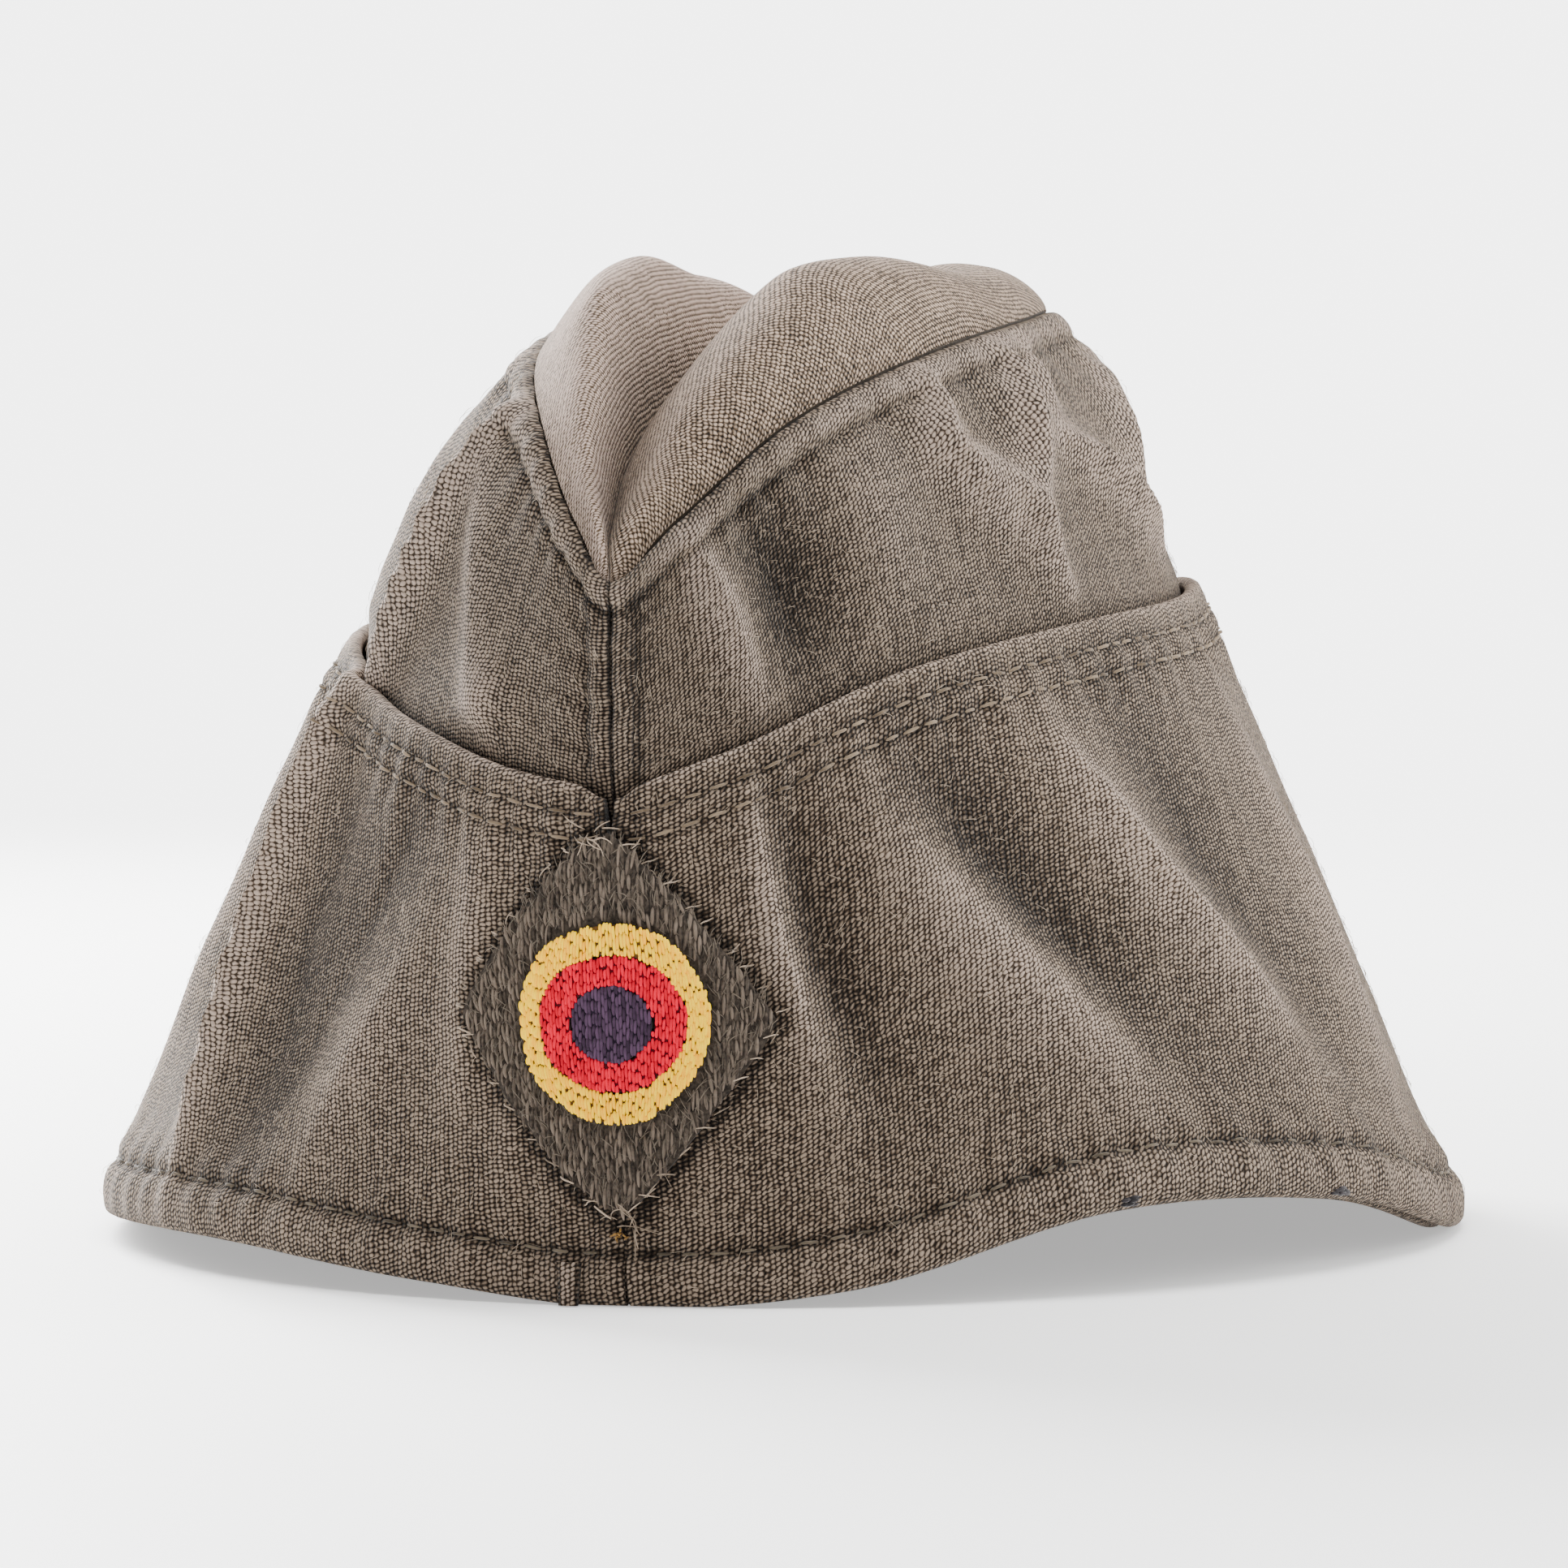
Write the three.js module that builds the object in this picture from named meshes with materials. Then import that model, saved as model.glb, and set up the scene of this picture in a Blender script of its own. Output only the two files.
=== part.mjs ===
import * as THREE from 'three';

// Garrison cap of soft cloth: two side panels meeting in a front and a back seam, a top panel folded
// inward along a lengthwise crease, a turned-up curtain of doubled cloth on each side, and a diamond
// badge patch with a round cockade of three rings on the front seam.
// Millimetres, +Z up, the front looks along -Y, the wearer's left is +X.

// Driving sizes
const LENGTH = 196;
const WIDTH = 164;
const HEIGHT = 114.5;
const CLOTH = 1.6;
const CURTAIN_CLOTH = 1.9;
const PATCH_WIDTH = 36.6;
const PATCH_HEIGHT = 44.4;
const PATCH_CLOTH = 1.8;
const PATCH_CENTRE = 31.8;
const PATCH_EASE = 0.92;
const COCKADE = 23;
const THREAD = 0.8;

// Clearances between pieces
const GAP = 0.35;
const CURTAIN_GAP = 0.5;
const PATCH_GAP = 0.45;
const TUCK = 1.9;
const SINK = 0.5;

// Stitched edges: the rolled ridge along the seams, the hem line and the rim band of the curtain
const ROLL_WIDTH = 4.2;
const ROLL_RISE = 0.7;
const GROOVE = 0.45;
const GROOVE_WIDTH = 0.85;
const EDGE_ROUND = 1.3;
const EDGE_DROP = 0.55;
const SEAM_CALM = 9;
const HEM = 3.5;
const RIM_BAND = 5.8;
const BAND_RISE = 0.4;
const FLAT_FOOT = 0.3;

// The wall outline by level. up is the share of the local height, length the share of LENGTH, left
// and right the shares of WIDTH at the picture's left (-X) and right (+X), point how pointed the plan
// is at the ends and lean the sideways lean of the front seam as a share of WIDTH.
const LEVELS = [
  // up, length, left, right, point, lean
  [0.00, 1.000, 1.010, 0.998, 0.05, 0.018],
  [0.03, 0.998, 1.007, 0.995, 0.05, 0.017],
  [0.10, 0.990, 0.953, 0.945, 0.08, 0.015],
  [0.25, 0.974, 0.841, 0.857, 0.14, 0.010],
  [0.50, 0.949, 0.684, 0.702, 0.25, 0.001],
  [0.75, 0.918, 0.545, 0.563, 0.32, -0.007],
  [0.90, 0.900, 0.428, 0.478, 0.35, -0.011],
  [1.00, 0.888, 0.305, 0.380, 0.35, -0.013],
];

// The run from the front seam (0) to the back seam (1). Lifts of the rim off the ground, the height of
// the top seam, the dip of the crease and the rise of the two lobes are shares of HEIGHT, the curtain
// edges shares of the local wall height, and crease the place between the left and right top seams.
const ROUND = [
  // run, liftL, liftR, seam, curtainL, curtainR, crease, dip, riseL, riseR
  [0.00, 0.000, 0.000, 0.725, 0.715, 0.715, 0.36, 0.009, 0.000, 0.000],
  [0.10, 0.018, 0.018, 0.786, 0.670, 0.695, 0.34, 0.035, 0.035, 0.035],
  [0.22, 0.038, 0.086, 0.886, 0.635, 0.675, 0.34, 0.052, 0.076, 0.074],
  [0.36, 0.030, 0.076, 0.956, 0.655, 0.675, 0.36, 0.070, 0.125, 0.120],
  [0.50, 0.009, 0.012, 0.991, 0.665, 0.690, 0.42, 0.079, 0.108, 0.096],
  [0.64, 0.002, 0.002, 1.000, 0.680, 0.700, 0.47, 0.070, 0.039, 0.070],
  [0.80, 0.009, 0.009, 0.943, 0.690, 0.700, 0.50, 0.052, 0.035, 0.052],
  [1.00, 0.000, 0.000, 0.803, 0.700, 0.700, 0.50, 0.009, 0.000, 0.000],
];

// Soft folds of the cloth. A fold runs through three places given by run (0 front, 1 back) and by up,
// the share of the curtain or of the crown above it. side is +1 for +X. rise and spread are shares of
// HEIGHT.
const CURTAIN_FOLDS = [
  // side, run, up, run, up, run, up, rise, spread
  [1, 0.108, 0.92, 0.106, 0.60, 0.112, 0.33, 0.017, 0.044],
  [1, 0.142, 0.90, 0.144, 0.60, 0.152, 0.30, -0.017, 0.061],
  [1, 0.205, 0.76, 0.240, 0.50, 0.288, 0.16, 0.026, 0.061],
  [1, 0.243, 0.86, 0.275, 0.60, 0.312, 0.30, -0.019, 0.070],
  [1, 0.330, 0.84, 0.353, 0.56, 0.405, 0.24, 0.028, 0.070],
  [1, 0.410, 0.88, 0.420, 0.56, 0.435, 0.30, -0.014, 0.079],
  [1, 0.476, 0.88, 0.476, 0.50, 0.448, 0.12, 0.016, 0.079],
  [1, 0.640, 0.85, 0.640, 0.55, 0.650, 0.20, 0.014, 0.105],
  [1, 0.820, 0.85, 0.820, 0.55, 0.810, 0.20, 0.014, 0.105],
  [-1, 0.286, 0.96, 0.311, 0.55, 0.282, 0.08, 0.023, 0.052],
  [-1, 0.246, 0.92, 0.256, 0.55, 0.236, 0.12, -0.016, 0.061],
  [-1, 0.178, 0.90, 0.210, 0.60, 0.226, 0.20, -0.010, 0.070],
  [-1, 0.120, 0.92, 0.104, 0.60, 0.100, 0.33, 0.014, 0.052],
  [-1, 0.150, 0.62, 0.168, 0.40, 0.180, 0.18, 0.014, 0.061],
  [-1, 0.420, 0.85, 0.420, 0.50, 0.410, 0.20, 0.016, 0.079],
  [-1, 0.620, 0.85, 0.620, 0.55, 0.630, 0.20, 0.014, 0.105],
  [-1, 0.820, 0.85, 0.820, 0.55, 0.810, 0.20, 0.014, 0.105],
];

const CROWN_FOLDS = [
  // side, run, up, run, up, run, up, rise, spread
  [1, 0.096, 0.92, 0.115, 0.56, 0.130, 0.14, 0.024, 0.044],
  [1, 0.155, 0.88, 0.166, 0.50, 0.165, 0.12, -0.021, 0.052],
  [1, 0.252, 0.92, 0.242, 0.60, 0.252, 0.20, 0.012, 0.070],
  [1, 0.332, 0.94, 0.306, 0.70, 0.334, 0.42, 0.019, 0.039],
  [1, 0.326, 0.66, 0.350, 0.45, 0.366, 0.14, 0.017, 0.044],
  [1, 0.424, 0.94, 0.392, 0.72, 0.362, 0.38, 0.019, 0.039],
  [1, 0.412, 0.64, 0.456, 0.46, 0.510, 0.17, 0.021, 0.044],
  [1, 0.580, 0.84, 0.530, 0.62, 0.495, 0.32, 0.017, 0.052],
  [-1, 0.350, 0.74, 0.296, 0.40, 0.320, 0.10, 0.019, 0.061],
  [-1, 0.246, 0.86, 0.192, 0.56, 0.174, 0.34, 0.017, 0.052],
  [-1, 0.140, 0.34, 0.144, 0.20, 0.138, 0.10, 0.017, 0.052],
];

const LOBE_FOLDS = [
  // side, run, up, run, up, run, up, rise, spread
  [1, 0.300, 0.20, 0.330, 0.45, 0.350, 0.70, 0.010, 0.070],
  [1, 0.470, 0.20, 0.480, 0.50, 0.500, 0.75, -0.010, 0.079],
  [-1, 0.280, 0.25, 0.300, 0.50, 0.330, 0.75, 0.010, 0.070],
  [-1, 0.480, 0.20, 0.500, 0.50, 0.500, 0.75, -0.009, 0.079],
];

// Typical spans that turn shares into distances along the cloth when a fold is drawn
const CURTAIN_SPAN = { run: 1.35 * LENGTH, up: 0.56 * HEIGHT };
const CROWN_SPAN = { run: 1.05 * LENGTH, up: 0.29 * HEIGHT };
const LOBE_SPAN = { run: 1.00 * LENGTH, up: 0.20 * WIDTH };

// Places of the grid lines, as shares and as distances from a stitched edge
const SEAM_LINES = [0, 0.26 * ROLL_WIDTH, 0.57 * ROLL_WIDTH, 0.86 * ROLL_WIDTH, 1.1 * ROLL_WIDTH];
const MIDDLE_LINES = 25;
const BACK_LINES = [1.1 * ROLL_WIDTH, 0.55 * ROLL_WIDTH, 0];
const CURTAIN_LOW = [0, EDGE_ROUND, 0.76 * RIM_BAND, RIM_BAND, 1.24 * RIM_BAND];
const CURTAIN_MIDDLE = [0.19, 0.28, 0.38, 0.48, 0.58, 0.68, 0.79];
const CURTAIN_HIGH = [2 * HEM, 1.25 * HEM, HEM, 0.74 * HEM, EDGE_ROUND, 0];
const PANEL_LOW = [0, 0.05, 0.25, 0.55, 0.86];
const PANEL_MIDDLE = [0.03, 0.18, 0.35, 0.52, 0.68];
const PANEL_HIGH = [1.19 * ROLL_WIDTH, 0.86 * ROLL_WIDTH, 0.52 * ROLL_WIDTH, 0.24 * ROLL_WIDTH, 0];
const TOP_LINES = [0, 0.04, 0.11, 0.24, 0.42, 0.62, 0.80, 0.93, 1];
const TOP_ROWS = 26;
const TOP_FROM = 0.06;

// Powers that lean the lobes of the top towards the crease (over 1) or the seam, and that round the
// sides of the diamond patch (1 is straight)
const LEFT_LOBE = 1.32;
const RIGHT_LOBE = 0.9;
const PATCH_ROUND_LEFT = 1.3;
const PATCH_ROUND_RIGHT = 1.1;
const PATCH_CELLS = 9;
const RING_SEGMENTS = 28;

const clamp = (value) => Math.min(1, Math.max(0, value));

const smooth = (from, to, value) => {
  const share = clamp((value - from) / (to - from));
  return share * share * (3 - 2 * share);
};

// Reads a table at a place with smooth slopes; flat ends have no slope at the first and last row.
function readTable(rows, at, flatEnds) {
  const place = clamp(at);
  const last = rows.length - 1;
  let low = 0;
  while (low < last - 1 && rows[low + 1][0] <= place) {
    low += 1;
  }
  const slope = (row, column) => {
    const edge = row === 0 || row === last;
    if (edge && flatEnds) {
      return 0;
    }
    if (edge) {
      const from = row === 0 ? 0 : last - 1;
      return (rows[from + 1][column] - rows[from][column]) / (rows[from + 1][0] - rows[from][0]);
    }
    const before = rows[row][0] - rows[row - 1][0];
    const after = rows[row + 1][0] - rows[row][0];
    const rise = (rows[row][column] - rows[row - 1][column]) / before;
    const next = (rows[row + 1][column] - rows[row][column]) / after;
    return (rise * after + next * before) / (before + after);
  };
  const span = rows[low + 1][0] - rows[low][0];
  const t = (place - rows[low][0]) / span;
  const start = (1 + 2 * t) * (1 - t) * (1 - t);
  const leave = t * (1 - t) * (1 - t);
  const arrive = -t * t * (1 - t);
  return rows[low].slice(1).map((value, index) => {
    const column = index + 1;
    return value * start + rows[low + 1][column] * (1 - start)
      + span * (slope(low, column) * leave + slope(low + 1, column) * arrive);
  });
}

// The height of a set of folds at one place
function foldHeight(folds, span, side, run, up) {
  let height = 0;
  for (const [foldSide, run0, up0, run1, up1, run2, up2, rise, spread] of folds) {
    if (foldSide !== side) {
      continue;
    }
    const legs = [[run0, up0, run1, up1, 0], [run1, up1, run2, up2, 1]];
    let near = Infinity;
    let along = 0;
    for (const [fromRun, fromUp, toRun, toUp, leg] of legs) {
      const runStep = (toRun - fromRun) * span.run;
      const upStep = (toUp - fromUp) * span.up;
      const runOff = (run - fromRun) * span.run;
      const upOff = (up - fromUp) * span.up;
      const share = clamp((runOff * runStep + upOff * upStep) / (runStep * runStep + upStep * upStep));
      const away = Math.hypot(runOff - share * runStep, upOff - share * upStep);
      if (away < near) {
        near = away;
        along = (leg + share) / 2;
      }
    }
    const taper = 0.35 + 0.65 * Math.sin(Math.PI * along);
    height += HEIGHT * rise * taper * Math.exp(-((near / (HEIGHT * spread)) ** 2));
  }
  return height;
}

function roundAt(side, run) {
  const [liftL, liftR, seam, curtainL, curtainR, crease, dip, riseL, riseR] = readTable(ROUND, run, true);
  const lift = side > 0 ? liftR : liftL;
  return {
    rim: Math.max(0, lift * HEIGHT - FLAT_FOOT),
    seam: seam * HEIGHT,
    curtain: side > 0 ? curtainR : curtainL,
    crease,
    dip: dip * HEIGHT,
    rise: (side > 0 ? riseR : riseL) * HEIGHT,
  };
}

// The outer face of the wall of one side
function wall(side, run, up) {
  const [length, left, right, point, lean] = readTable(LEVELS, up, false);
  const { rim, seam } = roundAt(side, run);
  const turn = Math.PI * run;
  const bow = (1 - point) * Math.sin(turn) + point * Math.sin(turn) ** 2;
  const half = (side > 0 ? right : left) * WIDTH / 2;
  const front = ((1 + Math.cos(turn)) / 2) ** 2;
  return new THREE.Vector3(
    side * (half * bow + GAP / 2) + lean * WIDTH * front,
    -Math.cos(turn) * length * LENGTH / 2,
    rim + (seam - rim) * up,
  );
}

function facing(surface, a, b, side) {
  const step = 0.002;
  const along = surface(a + step, b).sub(surface(a - step, b));
  const across = surface(a, b + step).sub(surface(a, b - step));
  return along.cross(across).multiplyScalar(side).normalize();
}

const wallFacing = (side, run, up) => facing((a, b) => wall(side, a, b), run, up, side);

const offWall = (side, run, up, height) => (
  wall(side, run, up).addScaledVector(wallFacing(side, run, up), height)
);

// Distances along the cloth to the front or back seam and to the top seam
function seamDistance(side, run, up) {
  const [, left, right, point] = readTable(LEVELS, up, false);
  const pace = (side > 0 ? right : left) * WIDTH / 2 * (1 - point) * Math.PI;
  return Math.min(run, 1 - run) * pace;
}

function localHeight(side, run) {
  const { rim, seam } = roundAt(side, run);
  return seam - rim;
}

// Grid lines from the front seam to the back seam at one level
function runLines(side, up) {
  const pace = seamDistance(side, 0.01, up) / 0.01;
  const front = SEAM_LINES.map((distance) => distance / pace);
  const back = BACK_LINES.map((distance) => 1 - distance / pace);
  const from = front[front.length - 1];
  const to = back[0];
  const middle = [];
  for (let line = 1; line < MIDDLE_LINES; line += 1) {
    const share = line / MIDDLE_LINES;
    middle.push(from + (to - from) * (share - 0.08 * Math.sin(Math.PI * share)));
  }
  return [...front, ...middle, ...back];
}

const groove = (distance, at) => -GROOVE * Math.exp(-(((distance - at) / GROOVE_WIDTH) ** 2));

// A rolled ridge with a groove behind it, by the distance from a stitched edge
function roll(distance) {
  const share = Math.min(1, distance / ROLL_WIDTH);
  const ridge = ROLL_RISE * Math.sin(Math.PI * (0.12 + 0.88 * share));
  return ridge + groove(distance, ROLL_WIDTH);
}

// How far the side panel stands off the wall outline
function panelHeight(side, run, up) {
  const { curtain } = roundAt(side, run);
  const under = up / curtain;
  const above = (up - curtain) / (1 - curtain);
  const hidden = smooth(0.02, 0.2, under) * (1 - smooth(0.86, 1.02, under));
  const shown = smooth(0, 0.12, above) * (1 - smooth(0.9, 1, above));
  const folds = shown > 0 ? foldHeight(CROWN_FOLDS, CROWN_SPAN, side, run, above) : 0;
  const topSeam = roll((1 - up) * localHeight(side, run));
  const endSeam = roll(seamDistance(side, run, up)) * shown;
  return folds * shown + Math.max(topSeam, -GROOVE) + endSeam * (1 - smooth(0.7, 0.9, above)) - TUCK * hidden;
}

// How far the inner face of the curtain stands off the wall outline
function curtainHeight(side, run, up) {
  const { curtain } = roundAt(side, run);
  const share = up / curtain;
  const calm = smooth(SEAM_CALM / 9, SEAM_CALM, seamDistance(side, run, up));
  const ease = smooth(0.02, 0.22, share) * (1 - smooth(0.86, 1, share)) * calm;
  return CURTAIN_GAP + foldHeight(CURTAIN_FOLDS, CURTAIN_SPAN, side, run, share) * ease;
}

// How far the outer face of the curtain stands off the wall outline, with its stitched lines
function curtainFace(side, run, up) {
  const { curtain } = roundAt(side, run);
  const height = localHeight(side, run);
  const low = up * height;
  const high = (curtain - up) * height;
  const end = seamDistance(side, run, up);
  const band = low < RIM_BAND ? BAND_RISE * Math.sin(Math.PI * low / RIM_BAND) : 0;
  const round = (distance) => -EDGE_DROP * (1 - smooth(0, EDGE_ROUND, distance));
  const lines = groove(low, RIM_BAND) + groove(high, HEM) + groove(end, SEAM_LINES[3]);
  const rounding = round(high) + round(low) + round(end) / 2;
  return curtainHeight(side, run, up) + CURTAIN_CLOTH + band + lines + rounding;
}

// One closed piece of cloth from an outer and an inner sheet of points
function clothPiece(name, color, rows, flip) {
  const height = rows.length;
  const width = rows[0].length;
  const points = [];
  for (const layer of [0, 1]) {
    for (const row of rows) {
      for (const pair of row) {
        points.push(pair[layer]);
      }
    }
  }
  const at = (layer, row, column) => (layer * height + row) * width + column;
  const faces = [];
  const quad = (a, b, c, d) => {
    faces.push(...(flip ? [a, c, b, a, d, c] : [a, b, c, a, c, d]));
  };
  for (let row = 0; row < height - 1; row += 1) {
    for (let column = 0; column < width - 1; column += 1) {
      quad(at(0, row, column), at(0, row, column + 1), at(0, row + 1, column + 1), at(0, row + 1, column));
      quad(at(1, row, column), at(1, row + 1, column), at(1, row + 1, column + 1), at(1, row, column + 1));
    }
  }
  for (let column = 0; column < width - 1; column += 1) {
    const end = height - 1;
    quad(at(1, 0, column), at(1, 0, column + 1), at(0, 0, column + 1), at(0, 0, column));
    quad(at(0, end, column), at(0, end, column + 1), at(1, end, column + 1), at(1, end, column));
  }
  for (let row = 0; row < height - 1; row += 1) {
    const end = width - 1;
    quad(at(0, row, 0), at(0, row + 1, 0), at(1, row + 1, 0), at(1, row, 0));
    quad(at(0, row, end), at(1, row, end), at(1, row + 1, end), at(0, row + 1, end));
  }
  return piece(name, color, points, faces);
}

function piece(name, color, points, faces) {
  const geometry = new THREE.BufferGeometry().setFromPoints(points);
  geometry.setIndex(faces);
  geometry.computeVertexNormals();
  const mesh = new THREE.Mesh(geometry, new THREE.MeshStandardMaterial({ color, roughness: 0.95 }));
  mesh.name = name;
  return mesh;
}

function sidePanel(name, side) {
  const rows = [];
  const count = PANEL_LOW.length + PANEL_MIDDLE.length + PANEL_HIGH.length;
  for (let row = 0; row < count; row += 1) {
    const upAt = (run) => {
      const { curtain } = roundAt(side, run);
      const middle = row - PANEL_LOW.length;
      const high = middle - PANEL_MIDDLE.length;
      if (middle < 0) {
        return curtain * PANEL_LOW[row];
      }
      if (high < 0) {
        return curtain + (1 - curtain) * PANEL_MIDDLE[middle];
      }
      return 1 - PANEL_HIGH[high] / localHeight(side, run);
    };
    const cells = runLines(side, upAt(0.02)).map((run) => {
      const up = upAt(run);
      const height = panelHeight(side, run, up);
      const outer = offWall(side, run, up, height);
      const inner = offWall(side, run, up, height - CLOTH);
      if (row === 0) {
        outer.z = roundAt(side, run).rim;
        inner.z = outer.z;
      }
      return [outer, inner];
    });
    rows.push(cells);
  }
  return clothPiece(name, 0x7b7161, rows, side < 0);
}

function curtainPiece(name, side) {
  const rows = [];
  const count = CURTAIN_LOW.length + CURTAIN_MIDDLE.length + CURTAIN_HIGH.length;
  for (let row = 0; row < count; row += 1) {
    const upAt = (run) => {
      const { curtain } = roundAt(side, run);
      const middle = row - CURTAIN_LOW.length;
      const high = middle - CURTAIN_MIDDLE.length;
      if (middle < 0) {
        return CURTAIN_LOW[row] / localHeight(side, run);
      }
      if (high < 0) {
        return curtain * CURTAIN_MIDDLE[middle];
      }
      return curtain - CURTAIN_HIGH[high] / localHeight(side, run);
    };
    const cells = runLines(side, upAt(0.02)).map((run) => {
      const up = upAt(run);
      const outer = offWall(side, run, up, curtainFace(side, run, up));
      const inner = offWall(side, run, up, curtainHeight(side, run, up));
      if (row === 0) {
        outer.z = roundAt(side, run).rim;
        inner.z = outer.z;
      }
      return [outer, inner];
    });
    rows.push(cells);
  }
  return clothPiece(name, 0x817664, rows, side < 0);
}

// The edge of the top panel beside the top seam, and the way the wall faces there
function topEdge(side, run) {
  const out = wallFacing(side, run, 1);
  const along = wall(side, run + 0.002, 1).sub(wall(side, run - 0.002, 1)).normalize();
  const beyond = out.clone().cross(along).multiplyScalar(side);
  const edge = wall(side, run, 1).addScaledVector(beyond, GAP).addScaledVector(out, -SINK);
  return { edge, out };
}

// The outer face of the top panel; across runs from -1 at the left seam over 0 in the crease to 1
function topFace(run, across) {
  const side = across < 0 ? -1 : 1;
  const { edge } = topEdge(side, run);
  const { edge: left } = topEdge(-1, run);
  const { edge: right } = topEdge(1, run);
  const { crease, dip, rise } = roundAt(side, run);
  const fold = left.lerp(right, crease);
  fold.z -= dip * smooth(0.04, 0.15, Math.min(run, 1 - run));
  const toFold = 1 - Math.abs(across);
  const point = edge.lerp(fold, toFold);
  const lobe = Math.sin(Math.PI * clamp(toFold) ** (side < 0 ? LEFT_LOBE : RIGHT_LOBE)) ** 0.75;
  point.z += rise * lobe + foldHeight(LOBE_FOLDS, LOBE_SPAN, side, run, toFold) * lobe;
  return point;
}

function topPanel(name) {
  const lines = [...TOP_LINES.slice(1).reverse().map((share) => -share), ...TOP_LINES];
  const rows = [];
  for (let row = 0; row <= TOP_ROWS; row += 1) {
    const share = row / TOP_ROWS;
    const run = TOP_FROM + (1 - 2 * TOP_FROM) * (share - 0.06 * Math.sin(Math.PI * share));
    rows.push(lines.map((across) => {
      const outer = topFace(run, across);
      const side = across < 0 ? -1 : 1;
      const step = 0.01;
      const along = topFace(run + 0.004, across).sub(topFace(run - 0.004, across));
      const over = topFace(run, Math.min(1, across + step)).sub(topFace(run, Math.max(-1, across - step)));
      const up = over.cross(along).normalize();
      const inside = smooth(0, 0.2, 1 - Math.abs(across));
      const away = topEdge(side, run).out.lerp(up, inside).normalize();
      return [outer, outer.clone().addScaledVector(away, -CLOTH)];
    }));
  }
  return clothPiece(name, 0x877b69, rows, false);
}

// A point over the front of the curtains at a distance across and a height, lifted off their face
function frontPoint(across, high, lift) {
  const side = across < 0 ? -1 : 1;
  let run = 0.05;
  let up = 0.3;
  for (let turn = 0; turn < 5; turn += 1) {
    const { rim, seam } = roundAt(side, run);
    up = (high - rim) / (seam - rim);
    const [, left, right, point, lean] = readTable(LEVELS, up, false);
    const half = (side > 0 ? right : left) * WIDTH / 2;
    const shift = lean * WIDTH * (1 - ((1 + Math.cos(Math.PI * run)) / 2) ** 2);
    const target = (Math.abs(across) * PATCH_EASE + side * shift) / half;
    const pace = (1 - point) + point * Math.sin(Math.PI * run);
    run = Math.asin(clamp(target / pace)) / Math.PI;
  }
  return offWall(side, run, up, curtainHeight(side, run, up) + CURTAIN_CLOTH + PATCH_GAP + lift);
}

const onPatch = (across, high, lift) => frontPoint(across, PATCH_CENTRE + high, lift);

// A place in a straight-sided diamond, moved outwards to the patch's rounded sides
function roundedPatch(across, high) {
  const wide = Math.abs(across) / (PATCH_WIDTH / 2);
  const tall = Math.abs(high) / (PATCH_HEIGHT / 2);
  const power = across < 0 ? PATCH_ROUND_LEFT : PATCH_ROUND_RIGHT;
  const reach = (wide ** power + tall ** power) ** (1 / power);
  const grow = reach > 0 ? (wide + tall) / reach : 1;
  return [across * grow, high * grow];
}

function badgePatch(name) {
  const rows = [];
  for (let row = 0; row <= PATCH_CELLS; row += 1) {
    const cells = [];
    for (let column = 0; column <= PATCH_CELLS; column += 1) {
      const a = column / PATCH_CELLS;
      const b = row / PATCH_CELLS;
      const [across, high] = roundedPatch((a - b) * PATCH_WIDTH / 2, (a + b - 1) * PATCH_HEIGHT / 2);
      const edge = row === 0 || column === 0 || row === PATCH_CELLS || column === PATCH_CELLS;
      const top = edge ? PATCH_CLOTH * 0.6 : PATCH_CLOTH;
      cells.push([onPatch(across, high, top), onPatch(across, high, 0)]);
    }
    rows.push(cells);
  }
  return clothPiece(name, 0x57524b, rows, false);
}

// A ring or disc of thread on the patch between two radii; bulge rounds its face
function ring(name, color, inner, outer) {
  const radii = inner > 0 ? [inner, (inner + outer) / 2, outer] : [outer * 0.55, outer];
  const bulge = inner > 0 ? [0.75, 1, 0.75] : [1, 0.75];
  const points = [];
  for (const layer of [1, 0]) {
    radii.forEach((radius, index) => {
      for (let segment = 0; segment < RING_SEGMENTS; segment += 1) {
        const turn = 2 * Math.PI * segment / RING_SEGMENTS;
        const lift = PATCH_CLOTH + GAP + layer * THREAD * bulge[index];
        points.push(onPatch(radius * 0.96 * Math.cos(turn), radius * Math.sin(turn), lift));
      }
    });
  }
  const at = (layer, index, segment) => (
    (layer * radii.length + index) * RING_SEGMENTS + segment % RING_SEGMENTS
  );
  const faces = [];
  const quad = (a, b, c, d) => faces.push(a, b, c, a, c, d);
  const end = radii.length - 1;
  for (let s = 0; s < RING_SEGMENTS; s += 1) {
    for (let index = 0; index < end; index += 1) {
      quad(at(0, index, s), at(0, index + 1, s), at(0, index + 1, s + 1), at(0, index, s + 1));
      quad(at(1, index, s), at(1, index, s + 1), at(1, index + 1, s + 1), at(1, index + 1, s));
    }
    quad(at(0, end, s), at(1, end, s), at(1, end, s + 1), at(0, end, s + 1));
    if (inner > 0) {
      quad(at(0, 0, s), at(0, 0, s + 1), at(1, 0, s + 1), at(1, 0, s));
    }
  }
  if (inner === 0) {
    const top = points.push(onPatch(0, 0, PATCH_CLOTH + GAP + THREAD)) - 1;
    const bottom = points.push(onPatch(0, 0, PATCH_CLOTH + GAP)) - 1;
    for (let s = 0; s < RING_SEGMENTS; s += 1) {
      faces.push(top, at(0, 0, s), at(0, 0, s + 1));
      faces.push(bottom, at(1, 0, s + 1), at(1, 0, s));
    }
  }
  return piece(name, color, points, faces);
}

const RED_RADIUS = 0.36 * COCKADE;
const BLACK_RADIUS = 0.20 * COCKADE;

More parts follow.
